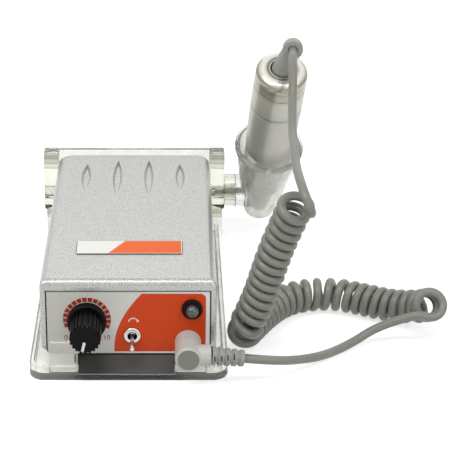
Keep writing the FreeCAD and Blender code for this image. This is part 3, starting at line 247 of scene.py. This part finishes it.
def clearPlastic(name, look, paintedBands=None, lean=0.0):
    paint = Paint(name)
    streaks = paint.noise(look["streakScale"], 2, 0.5, look["stretch"], lean)
    bright = streaks.ramp(0.35, 0.65)
    colour = paint.mix(bright, look["tint"], look["pale"])
    # Painted shade and refracted light: on the posts the colour runs through darker and lighter bands by
    # height
    if paintedBands:
        x, y, z = paint.axes()
        wavy = z / (postTop * mm) + streaks * 0.02 - 0.01
        stops = [(height / postTop, shade) for height, shade in paintedBands]
        paintedTone = paint.node("ShaderNodeValToRGB", {"stops": stops}, [wavy])
        onPost = (abs(x) > postPlace["side"] * mm) * (y > postPlace["front"] * mm)
        colour = paint.mix(onPost, colour, paintedTone)
        onEdge = (z > floorEdge["low"] * mm) * (z < floorEdge["high"] * mm)
        paint.set(alpha=1 - onEdge * (1 - floorEdge["alpha"]))
    return paint.set(colour=colour, transmission=look["clear"], ior=glass["ior"],
                     normal=paint.bump(streaks, glass["waveHeight"], look["wave"]),
                     rough=bright * (look["roughHigh"] - look["roughLow"]) + look["roughLow"])


metalLook = {"lineScale": 900, "lineHeight": 0.00002, "lineSpread": 0.1, "smudgeScale": 130,
             "smudgeDark": 0.88, "smudgeShare": 0.2, "smudge": (0.3, 0.29, 0.25)}


def metalLines(paint, rough):
    look = metalLook
    lines = paint.noise(look["lineScale"], 2, 0.5)
    roughness = lines * look["lineSpread"] + (rough - look["lineSpread"] / 2)
    return roughness, paint.bump(lines, look["lineHeight"], 0.4)


def machined(name, colour, rough=0.25, metal=1.0):
    paint = Paint(name)
    roughness, normal = metalLines(paint, rough)
    smudge = paint.noise(metalLook["smudgeScale"], 3, 0.5)
    dark = tuple(c * metalLook["smudgeDark"] for c in colour)
    return paint.set(colour=paint.mix(smudge, dark, colour), metal=metal, rough=roughness, normal=normal)


joints = {joint["name"]: joint for joint in frame["record"]["behaviour"]["joints"]}
handAxis = joints["twist_ring_turn"]
# The cup's streaks run along its own axis
cupLean = math.atan2(handAxis["axis"][1], handAxis["axis"][2])
# Painted reflections and shade on the turned shells, by height in mm along the handpiece: highlights and dark
# rings on the cap, groove shade lines on the sleeve
# The cap's dome: painted highlights and reflections, with dark rings of painted shade near the shoulder
capReflectionBands = [
    (72.0, (0.36, 0.355, 0.3)), (74.6, (0.4, 0.39, 0.32)), (76.6, (0.33, 0.315, 0.25)),
    (78.4, (0.5, 0.485, 0.41)), (79.6, (0.25, 0.22, 0.17)), (80.4, (0.66, 0.64, 0.56)),
    (80.85, (0.9, 0.89, 0.85)), (80.98, (0.6, 0.58, 0.5)), (81.08, (0.1, 0.09, 0.07)),
    (81.15, (0.5, 0.5, 0.46))]
# The sleeve: thin dark lines of painted shade where its grooves are, on a tone that changes along its length
sleeveGrooveShadeBands = [
    (60.0, (0.5, 0.5, 0.445)), (61.9, (0.5, 0.5, 0.445)), (61.98, (0.3, 0.3, 0.26)),
    (62.06, (0.52, 0.52, 0.46)), (68.5, (0.55, 0.55, 0.49)), (68.57, (0.4, 0.4, 0.35)),
    (68.64, (0.57, 0.57, 0.51)), (69.3, (0.56, 0.56, 0.5)), (69.37, (0.4, 0.4, 0.35)),
    (69.44, (0.58, 0.58, 0.52)), (70.1, (0.56, 0.56, 0.5)), (70.17, (0.4, 0.4, 0.35)),
    (70.24, (0.57, 0.57, 0.51)), (71.8, (0.46, 0.46, 0.4))]


def paintedBandMetal(name, paintedBands, rough, metal):
    paint = Paint(name)
    x, y, z = paint.axes()
    height = 0
    for wire, place, way in zip((x, y, z), handAxis["pos_m"], handAxis["axis"]):
        height = (wire - place) * way + height
    low, high = paintedBands[0][0], paintedBands[-1][0]
    stops = [((level - low) / (high - low), shade) for level, shade in paintedBands]
    smudge = paint.noise(metalLook["smudgeScale"], 3, 0.5) * metalLook["smudgeShare"]
    # Painted light: the bands stand for the reflections, highlights and shade that the shells show
    paintedTone = paint.node("ShaderNodeValToRGB", {"stops": stops}, [height.ramp(low * mm, high * mm)])
    roughness, normal = metalLines(paint, rough)
    return paint.set(colour=paint.mix(smudge, paintedTone, metalLook["smudge"]), metal=metal, rough=roughness,
                     normal=normal)


lensLook = {"dark": (0.02, 0.022, 0.028), "light": (0.06, 0.065, 0.075), "hazeScale": 400}


def lensPlastic():
    paint = Paint("lensPlastic")
    haze = paint.noise(lensLook["hazeScale"], 2, 0.5)
    return paint.set(colour=paint.mix(haze, lensLook["dark"], lensLook["light"]), ior=1.45, coat=1.0,
                     coatRough=0.04, rough=haze * 0.1 + 0.2)


filmLook = {"grainScale": 1500, "grainHeight": 0.00002, "rough": 0.3, "spread": 0.1}


def filmed(paint, colour, specular):
    film = paint.noise(filmLook["grainScale"], 2, 0.5)
    return paint.set(colour=colour, rough=film * filmLook["spread"] + filmLook["rough"], specular=specular,
                     normal=paint.bump(film, filmLook["grainHeight"], 0.4))


labelLook = {"orange": (0.95, 0.145, 0.01), "white": (0.95, 0.94, 0.9), "outline": (0.1, 0.085, 0.07),
             "slant": 0.55, "split": -4.8, "splitBlur": 0.15, "middle": -34.8, "fieldX": 19.2, "fieldY": 5.5,
             "lineX": 19.5, "lineY": 5.8}


def topLabelFilm():
    paint = Paint("topLabelFilm")
    look = labelLook
    blur = look["splitBlur"] * mm
    x, y, z = paint.axes()
    along = y - look["middle"] * mm
    edge = (x - along * look["slant"] - look["split"] * mm).ramp(-blur, blur)
    colour = paint.mix(edge, look["white"], look["orange"])
    for wideX, wideY, shade in (("fieldX", "fieldY", "white"), ("lineX", "lineY", "outline")):
        border = (abs(x) > look[wideX] * mm).calc("MAXIMUM", abs(along) > look[wideY] * mm)
        colour = paint.mix(border, colour, look[shade])
    return filmed(paint, colour, 0.12)


# bright is the colour of the plain area's painted sheen
panelLook = {"field": (0.7, 0.066, 0.01), "plain": (0.66, 0.665, 0.6), "bright": (0.88, 0.88, 0.84),
             "block": (0.4, 0.034, 0.012), "line": (0.02, 0.02, 0.02), "fieldFoot": -5.2, "fieldRight": 27.9,
             "fieldTop": 31.3, "fieldBottom": 8.1, "cornerRadius": 2.0, "blocks": 16, "blockShare": 0.84,
             "ringInner": 7.0, "ringOuter": 8.65, "ringStart": -27.0, "ringEnd": 206.0, "leanFrom": 9.5,
             "leanBend": 0.0212, "paintedSheenX": 0.016, "paintedSheenZ": 0.012, "paintedSheenStart": 0.75, "dialX": -14.9,
             "dialZ": 21.1, "lineX": 29.3, "gapShadeTop": 32.1}


def panelFilm():
    paint = Paint("panelFilm")
    look = panelLook
    x, y, z = paint.axes()
    x, z = x / mm, z / mm
    # The field's left edge leans in an arc from the foot to the top
    left = (z - look["leanFrom"]).calc("MAXIMUM", 0).calc("POWER", 2.0) * look["leanBend"] + look["fieldFoot"]
    inside = (x - left).ramp(-0.12, 0.12) * (z - look["fieldBottom"]).ramp(-0.05, 0.05)
    radius = look["cornerRadius"]
    overX = (x - (look["fieldRight"] - radius)).calc("MAXIMUM", 0)
    overZ = (z - (look["fieldTop"] - radius)).calc("MAXIMUM", 0)
    inside = inside * (radius - (overX * overX + overZ * overZ).calc("SQRT")).ramp(-0.06, 0.06)
    # Painted sheen: the plain area is painted lighter towards the right and the foot, for the light that
    # falls on it
    paintedSheen = (x * look["paintedSheenX"] - z * look["paintedSheenZ"] + look["paintedSheenStart"]).ramp(0.0, 1.0)
    plain = paint.mix(paintedSheen, look["plain"], look["bright"])
    colour = paint.mix(inside, plain, look["field"])
    across, up = x - look["dialX"], z - look["dialZ"]
    distance = (across * across + up * up).calc("SQRT")
    angle = up.calc("ARCTAN2", across) * (180 / math.pi)
    angle = angle + (angle < -90) * 360
    share = (angle - look["ringStart"]) / ((look["ringEnd"] - look["ringStart"]) / look["blocks"])
    ring = (distance > look["ringInner"]) * (distance < look["ringOuter"])
    ring = ring * (share.calc("FRACT") < look["blockShare"]) * (share > 0) * (share < look["blocks"])
    colour = paint.mix(ring, colour, look["block"])
    # Painted shade: a dark line along the panel's sides and top stands for the shadow in the gap to the
    # housing
    edge = (abs(x) > look["lineX"]).calc("MAXIMUM", z > look["gapShadeTop"])
    colour = paint.mix(edge, colour, look["line"])
    return filmed(paint, colour, 0.2)


jacketLook = {"dark": (0.2, 0.198, 0.172), "light": (0.275, 0.272, 0.24), "grainScale": 2600,
              "grainHeight": 0.00003, "shadeScale": 140}


def cordJacket():
    paint = Paint("cordJacket")
    look = jacketLook
    grain = paint.noise(look["grainScale"], 3, 0.6)
    shade = paint.noise(look["shadeScale"], 2, 0.5)
    return paint.set(colour=paint.mix(shade, look["dark"], look["light"]), rough=shade * 0.12 + 0.34,
                     normal=paint.bump(grain, look["grainHeight"], 0.5), coat=0.2)


boardLook = {"green": (0.02, 0.16, 0.07), "track": (0.1, 0.35, 0.16), "trackShare": 0.25, "gapScale": 120}


def boardFilm():
    paint = Paint("boardFilm")
    look = boardLook
    x, y, z = paint.axes()
    tracks = ((x / mm).calc("FRACT") < look["trackShare"]) * (paint.noise(look["gapScale"], 1, 0.5) > 0.5)
    return paint.set(colour=paint.mix(tracks * 0.6, look["green"], look["track"]), rough=0.35)


windingLook = {"dark": (0.16, 0.16, 0.17), "light": (0.3, 0.3, 0.31), "scale": 1800, "stretch": (0.1, 0.1, 1)}


def windings():
    paint = Paint("windings")
    look = windingLook
    rings = paint.noise(look["scale"], 1, 0.4, look["stretch"])
    return paint.set(colour=paint.mix(rings, look["dark"], look["light"]), metal=0.8, rough=0.45)


finishes = {
    "clear_plastic": clearPlastic("clearPlastic", clearLook, postShadeBands), "silver_plastic": silverPaint(),
    "label": panelFilm(),
    "dark_plastic": mouldedPlastic("darkPlastic", (0.03, 0.0295, 0.028), 0.42),
    "black_plastic": mouldedPlastic("blackPlastic", (0.003, 0.003, 0.0033), 0.3, specular=0.1),
    "white_plastic": mouldedPlastic("whitePlastic", (0.85, 0.85, 0.83), 0.4),
    "grey_plastic": mouldedPlastic("greyPlastic", (0.57, 0.568, 0.53), 0.42, spread=0.04),
    "grey_rubber": mouldedPlastic("greyRubber", (0.36, 0.358, 0.335), 0.48, spread=0.05),
    "grey_cord": cordJacket(), "lamp_lens": lensPlastic(),
    "silver_metal": machined("satinMetal", (0.5, 0.5, 0.45), 0.36, 0.75),
    "polished_metal": paintedBandMetal("polishedMetalPaintedReflections", capReflectionBands, 0.22, 0.9),
    "dark_metal": machined("darkMetal", (0.4, 0.4, 0.37), 0.3),
    "steel": machined("steel", (0.62, 0.62, 0.6), 0.2), "iron": windings(),
    "magnet": mouldedPlastic("magnet", (0.06, 0.06, 0.065), 0.6),
    "brass": machined("brass", (0.72, 0.5, 0.2), 0.3),
    "cell_wrap": mouldedPlastic("cellWrap", (0.03, 0.09, 0.22), 0.3), "board": boardFilm()}
ownFinish = {
    "top_label": topLabelFilm(), "holder_cup": clearPlastic("frostedCup", cupLook, lean=cupLean),
    # The plug's front disc: a slightly darker grey of its own, painted much darker still as the shade on its
    # forward-facing side
    "plug_cap": mouldedPlastic("plugDiscWithPaintedShade", (0.23, 0.228, 0.205), 0.4, spread=0.04),
    "rear_sleeve": paintedBandMetal("sleevePaintedGrooveShade", sleeveGrooveShadeBands, 0.34, 0.75),
    "pivot_screw": machined("screwSteel", (0.1, 0.1, 0.09), 0.25)}


# Painted shade of the slots in the plug's strain relief: dark, near-black patches where the cuts are
slotShadeLook = {"places": (30.9, 33.3, 35.6, 37.9), "height": 12.2, "halfWidth": 0.26, "halfHeight": 0.95,
            "front": -74.0, "colour": (0.01, 0.01, 0.01)}


def rubberWithSlotShade():
    paint = mouldedPlastic("rubberWithSlotShade", (0.34, 0.338, 0.315), 0.48, spread=0.05)
    x, y, z = paint.axes()
    slots = 0
    for place in slotShadeLook["places"]:
        slots = (abs(x - place * mm) < slotShadeLook["halfWidth"] * mm) + slots
    level = abs(z - slotShadeLook["height"] * mm) < slotShadeLook["halfHeight"] * mm
    slots = slots * level * (y < slotShadeLook["front"] * mm)
    base = paint.shader.inputs["Base Color"].links[0].from_socket
    return paint.set(colour=paint.mix(slots, Wire(paint, base), slotShadeLook["colour"]))


ownFinish["plug_strain_relief"] = rubberWithSlotShade()


def finish(piece, slot, own=None):
    paint = own or finishes[slot]
    if not piece.material_slots:
        piece.data.materials.append(paint.material)
    for materialSlot in piece.material_slots:
        materialSlot.material = paint.material


def dressNodes():
    for row in frame["record"]["subparts"]:
        finish(frame["nodes"][row["node"]], row["material_slot"], ownFinish.get(row["node"]))


def bodyOf(node):
    bodies = frame["record"]["behaviour"]["bodies"]
    return next(body for body, nodes in bodies.items() if node in nodes)


def slotOf(node):
    return next(row["material_slot"] for row in frame["record"]["subparts"] if row["node"] == node)


def newPiece(name, mesh):
    piece = bpy.data.objects.new(name, mesh)
    bpy.context.collection.objects.link(piece)
    return piece


# CAD forms carried over with merged faces, smooth curves and fine rounded edges

# Each one's sharp angle in degrees and edge width in mm
softened = {
    "upper_housing": (30, 0.25), "cradle": (30, 0.35), "holder_cup": (35, 0.2), "swivel_boss": (35, 0.2),
    "lower_case": (30, 0.2), "speed_knob": (35, 0.1), "toggle_lever": (50, 0.05), "switch_nut": (35, 0.1),
    "pot_nut": (35, 0.1), "led_bezel": (35, 0.1), "led_lens": (60, 0.0), "plug_body": (35, 0.1),
    "plug_cap": (35, 0.1), "plug_strain_relief": (35, 0.12), "barrel": (25, 0.1), "trim_ring": (35, 0.1),
    "rear_sleeve": (25, 0.1), "rear_cap": (40, 0.08), "front_grip": (35, 0.1), "twist_ring": (35, 0.05),
    "nose_cone": (35, 0.1), "cord_boot": (40, 0.0), "collet": (35, 0.05), "front_panel": (30, 0.1),
    "pivot_screw": (35, 0.1), "charging_jack": (35, 0.1)}
softLook = {"merge": 0.000002, "flatAngle": 0.6, "edgeAngle": 30, "edgeSegments": 2, "openAngle": 3.0}


def soften(node, angle, width):
    source = frame["nodes"][node]
    shape = bmesh.new()
    shape.from_mesh(source.data)
    bmesh.ops.remove_doubles(shape, verts=shape.verts, dist=softLook["merge"])
    bmesh.ops.dissolve_limit(shape, angle_limit=math.radians(softLook["flatAngle"]), verts=shape.verts,
                             edges=shape.edges, use_dissolve_boundaries=False)
    for face in shape.faces:
        face.smooth = True
    for edge in shape.edges:
        edge.smooth = edge.is_manifold and edge.calc_face_angle(softLook["openAngle"]) < math.radians(angle)
    mesh = bpy.data.meshes.new(node + "Soft")
    shape.to_mesh(mesh)
    shape.free()
    piece = newPiece(node + "Soft", mesh)
    if width:
        bevel = piece.modifiers.new("edges", "BEVEL")
        bevel.use_clamp_overlap = slotOf(node) != "clear_plastic"
        bevel.width, bevel.segments, bevel.limit_method = width * mm, softLook["edgeSegments"], "ANGLE"
        bevel.angle_limit, bevel.harden_normals = math.radians(max(angle, softLook["edgeAngle"])), True
    weighted = piece.modifiers.new("normals", "WEIGHTED_NORMAL")
    weighted.keep_sharp = True
    finish(piece, slotOf(node), ownFinish.get(node))
    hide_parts(node)
    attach(piece, bodyOf(node))


# Cord: the routes are given, and the curls go round their own line

cordLook = {"diameter": 3.35, "sides": 5, "curlPoints": 12}
routes = {
    "lead": [(62.05, 12.1, 98.9), (61.5, 3.0, 98.4), (61.1, -5.6, 92.6), (60.6, -12.6, 85.6),
             (60.2, -18.8, 83.2)],
    "toCurls": [(60.2, -18.8, 83.2), (59.8, -25.0, 80.8), (59.6, -37.0, 78.3), (59.5, -48.3, 75.8),
                (59.9, -55.8, 74.6), (61.3, -68.9, 72.2), (63.9, -70.6, 66.0), (64.2, -66.0, 63.3)],
    "fromCurls": [(108.2, -41.5, 12.0), (104.4, -40.4, 10.5), (101.7, -40.1, 9.5)],
    "low": [(101.7, -40.1, 9.5), (93.2, -39.5, 6.3), (83.2, -45.0, 2.1), (72.4, -54.2, 1.75),
            (67.15, -58.6, 3.075)],
    "tail": [(67.15, -58.6, 3.075), (61.9, -63.0, 4.4), (51.5, -71.2, 8.5), (41.18, -72.45, 10.15)]}
curls = {
    "line": [(59.5, -61.5, 66.0), (57.0, -57.5, 57.0), (53.0, -55.5, 45.4), (50.4, -54.0, 35.6),
             (47.3, -52.5, 23.6), (40.6, -50.0, 6.6), (49.5, -31.0, 6.6), (58.5, -17.9, 6.6),
             (69.0, -12.5, 6.6), (80.0, -12.0, 6.6), (90.3, -17.0, 6.6), (102.0, -23.5, 6.6),
             (113.0, -30.5, 10.5), (113.0, -41.0, 16.5)],
    "radius": 4.95, "spacing": 3.64, "openTop": 2.5, "openEnd": 3.0, "openLength": 4.5, "widest": 9.0,
    "startTurn": 0.386, "endCut": 0.43, "lineSteps": 80, "bendReach": 3.0, "spare": 1.01, "bendShare": 1.12}
# Each piece's CAD nodes, the two bodies it joins, and where it leaves them
cords = {
    "cordLead": {"nodes": ["cord_lead"], "bodies": ("handpiece", "holder"), "steps": 12, "farEnd": "object",
                 "lay": "loose", "start": (61.6, 4.0, 98.4), "end": (60.3, -18.0, 83.5), "pieces": ()},
    "cordCurly": {"nodes": ["cord_upper", "cord_coil"], "bodies": ("holder", "cradle"), "steps": 4,
                  "farEnd": "object", "lay": "coiled", "start": (60.1, -19.5, 82.9),
                  "end": (60.4, -44.0, 23.0), "pieces": ()},
    "cordLow": {"nodes": ["cord_lower"], "bodies": ("cradle", "control_box"), "steps": 12, "farEnd": "object",
                "lay": "loose", "start": (100.0, -40.0, 9.0), "end": (69.0, -57.0, 3.0), "pieces": ()},
    "cordTail": {"nodes": ["cord_tail"], "bodies": ("control_box", "plug"), "steps": 12, "farEnd": "plug",
                 "lay": "loose", "start": (65.0, -60.0, 3.5), "end": (43.0, -72.3, 10.0),
                 "pieces": ["plug_bodySoft", "plug_strain_reliefSoft"]}}


def splineCurve(name, points, steps, depth=0.0):
    data = bpy.data.curves.new(name, "CURVE")
    data.dimensions, data.resolution_u, data.bevel_depth = "3D", steps, depth
    data.bevel_resolution, data.use_fill_caps = cordLook["sides"], depth > 0
    spline = data.splines.new("NURBS")
    spline.points.add(len(points) - 1)
    for point, place in zip(spline.points, points):
        point.co = (*(Vector(place) * mm), 1)
    spline.order_u, spline.use_endpoint_u, spline.resolution_u = 3, True, steps
    return newPiece(name, data)


def meshOf(curve):
    return bpy.data.meshes.new_from_object(curve.evaluated_get(bpy.context.evaluated_depsgraph_get()))


def splinePoints(points, steps):
    curve = splineCurve("routeLine", points, steps)
    bpy.context.view_layer.update()
    mesh = meshOf(curve)
    places = [vertex.co / mm for vertex in mesh.vertices]
    bpy.data.objects.remove(curve)
    return places


def curlPoints():
    middle = splinePoints(curls["line"], curls["lineSteps"])
    ways = [(b - a).normalized() for a, b in zip(middle, middle[1:])]
    ways.append(ways[-1])
    across, frames = Vector((0, 0, 1)), []
    for place, way in zip(middle, ways):
        across = (across - way * across.dot(way)).normalized()
        frames.append((place, across, way.cross(across)))
    steps = [(b - a).length for a, b in zip(middle, middle[1:])]
    bends = [a.angle(b, 0) / step for a, b, step in zip(ways, ways[1:], steps)]
    window = int(curls["bendReach"] / (sum(steps) / len(steps)))
    turns, travelled, total = [0.0], 0.0, sum(steps)
    for index, step in enumerate(steps):
        near = bends[max(0, index - window):index + window + 1]
        bend = sum(near) / len(near)
        pitch = curls["spacing"] * curls["spare"] / (1 - curls["bendShare"] * curls["radius"] * bend)
        pitch = min(pitch, curls["widest"]) + curls["openTop"] * math.exp(-travelled / curls["openLength"])
        pitch += curls["openEnd"] * math.exp((travelled - total) / curls["openLength"])
        travelled += step
        turns.append(turns[-1] + step / pitch)
    last = turns[-1] - curls["endCut"]
    radius = curls["radius"] / (0.5 + 0.5 * math.cos(math.pi / cordLook["curlPoints"]) ** 2) ** 0.5
    count, places = round(last * cordLook["curlPoints"]), []
    for number in range(count + 1):
        turn = last * number / count
        index = min(bisect.bisect_right(turns, turn), len(turns) - 1) - 1
        share = (turn - turns[index]) / (turns[index + 1] - turns[index])
        place, side, up = (a.lerp(b, share) for a, b in zip(frames[index], frames[index + 1]))
        angle = 2 * math.pi * (curls["startTurn"] - turn)
        places.append(place + (side * math.cos(angle) + up * math.sin(angle)) * radius)
    print("curls", round(last, 1))
    return places


def cordPiece(name, points):
    cord = cords[name]
    curve = splineCurve(name + "Curve", points, cord["steps"], cordLook["diameter"] / 2 * mm)
    bpy.context.view_layer.update()
    mesh = meshOf(curve)
    bpy.data.objects.remove(curve)
    for polygon in mesh.polygons:
        polygon.use_smooth = True
    piece = newPiece(name, mesh)
    path = splinePoints(points, cord["steps"])
    finish(piece, "grey_cord")
    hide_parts(*cord["nodes"])
    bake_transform(piece)


def makeCords():
    cordPiece("cordLead", routes["lead"])
    cordPiece("cordCurly", routes["toCurls"] + curlPoints() + routes["fromCurls"])
    cordPiece("cordLow", routes["low"])
    cordPiece("cordTail", routes["tail"])


# Plain marks on the panel: a number at each end of the dial, and the way the motor turns

markLook = {"front": -63.2, "thick": 0.04, "size": 2.7, "numbers": {"0": (-22.6, 12.9), "10": (-7.9, 12.9)},
            "turnCentre": (1.75, 19.8), "turnRadius": 1.7, "turnWidth": 0.42, "turnStart": 170, "turnEnd": 28,
            "turnSteps": 16, "head": 0.62, "headLength": 1.3}


def keepMark(name, mesh, paint):
    piece = newPiece(name, mesh)
    finish(piece, "label", paint)
    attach(piece, "control_box")


def dialNumber(words, across, up, paint):
    data = bpy.data.curves.new("dialText", "FONT")
    data.body, data.size, data.align_x = words, markLook["size"] * mm, "CENTER"
    data.extrude = markLook["thick"] / 2 * mm
    curve = newPiece("dialText", data)
    bpy.context.view_layer.update()
    mesh = meshOf(curve)
    bpy.data.objects.remove(curve)
    mesh.transform(Matrix.Translation(Vector((across, markLook["front"] - markLook["thick"] / 2, up)) * mm)
                   @ Matrix.Rotation(math.radians(90), 4, "X"))
    keepMark("dialNumber" + words, mesh, paint)


def turnMark(paint):
    look, shape = markLook, bmesh.new()
    centre = Vector((look["turnCentre"][0], look["front"], look["turnCentre"][1]))
    start, end = math.radians(look["turnStart"]), math.radians(look["turnEnd"])
    reach = [look["turnRadius"] + look["turnWidth"] * side / 2 for side in (-1, 1)]
    outward = Vector((math.cos(start), 0, math.sin(start)))
    verts = [shape.verts.new((centre + outward * radius) * mm) for radius in reach]
    bmesh.ops.spin(shape, geom=verts + [shape.edges.new(verts)], cent=centre * mm, axis=(0, 1, 0),
                   dvec=(0, 0, 0), angle=start - end, steps=look["turnSteps"], use_merge=False,
                   use_duplicate=False)
    out, along = Vector((math.cos(end), 0, math.sin(end))), Vector((math.sin(end), 0, -math.cos(end)))
    middle, head = centre + out * look["turnRadius"], look["head"]
    tips = [middle + out * head, middle - out * head, middle + along * head * look["headLength"]]
    bmesh.ops.contextual_create(shape, geom=[shape.verts.new(tip * mm) for tip in tips])
    bmesh.ops.solidify(shape, geom=shape.faces[:], thickness=look["thick"] * mm)
    bmesh.ops.recalc_face_normals(shape, faces=shape.faces)
    low = max(vertex.co.y for vertex in shape.verts) - look["front"] * mm
    bmesh.ops.translate(shape, verts=shape.verts, vec=(0, -low, 0))
    mesh = bpy.data.meshes.new("turnMark")
    shape.to_mesh(mesh)
    shape.free()
    keepMark("turnMark", mesh, paint)


def makeMarks():
    red = mouldedPlastic("dialInk", (0.42, 0.05, 0.02), 0.4, specular=0.2)
    for words, (across, up) in markLook["numbers"].items():
        dialNumber(words, across, up, red)
    turnMark(mouldedPlastic("markInk", (0.85, 0.84, 0.8), 0.4, specular=0.2))
    print("marks made")


# The stage

def makeFloor():
    shape = bmesh.new()
    bmesh.ops.create_grid(shape, x_segments=1, y_segments=1, size=studio["floorSize"] / 2)
    mesh = bpy.data.meshes.new("floor")
    shape.to_mesh(mesh)
    shape.free()
    floor = newPiece("floor", mesh)
    floor.location.z = -studio["floorDrop"]
    paint = Paint("floorWhite")
    grey = studio["floorGrey"]
    paint.set(colour=(grey, grey, grey), rough=studio["floorRough"], specular=studio["floorShine"])
    rays = paint.node("ShaderNodeLightPath")
    seen = rays.socket.node.outputs
    white = Wire(paint, seen["Is Camera Ray"]).calc("MAXIMUM", Wire(paint, seen["Is Glossy Ray"]))
    white = white.calc("MAXIMUM", Wire(paint, seen["Is Transmission Ray"]))
    plain = Wire(paint, paint.shader.outputs[0])
    glow = paint.node("ShaderNodeEmission", values={"Color": (1, 1, 1, 1), "Strength": studio["floorGlow"]})
    both = paint.node("ShaderNodeAddShader", values=[plain, glow])
    mixed = paint.node("ShaderNodeMixShader", values=[white, plain, both])
    paint.put(paint.output.inputs["Surface"], mixed)
    floor.data.materials.append(paint.material)


def makeSky():
    world = bpy.data.worlds.new("studio")
    bpy.context.scene.world = world
    world.use_nodes = True
    tree = world.node_tree
    back = tree.nodes["Background"]
    rays = tree.nodes.new("ShaderNodeLightPath")
    seen = rays.outputs["Is Camera Ray"]
    for ray in ("Is Transmission Ray", "Is Glossy Ray"):
        either = tree.nodes.new("ShaderNodeMath")
        either.operation = "MAXIMUM"
        tree.links.new(seen, either.inputs[0])
        tree.links.new(rays.outputs[ray], either.inputs[1])
        seen = either.outputs[0]
    strength = tree.nodes.new("ShaderNodeMapRange")
    strength.inputs["To Min"].default_value = studio["skyLight"]
    tree.links.new(seen, strength.inputs["Value"])
    tree.links.new(strength.outputs[0], back.inputs["Strength"])
    back.inputs["Color"].default_value = (1, 1, 1, 1)


placeCamera()
makeFloor()
makeSky()
for name, lamp in lamps.items():
    areaLight(name, *lamp)
print("stage made")
dressNodes()
for node, (angle, width) in softened.items():
    soften(node, angle, width)
print("CAD forms softened:", len(softened))
makeCords()
print("cords made")
makeMarks()

bpy.context.scene.view_settings.view_transform = "Standard"
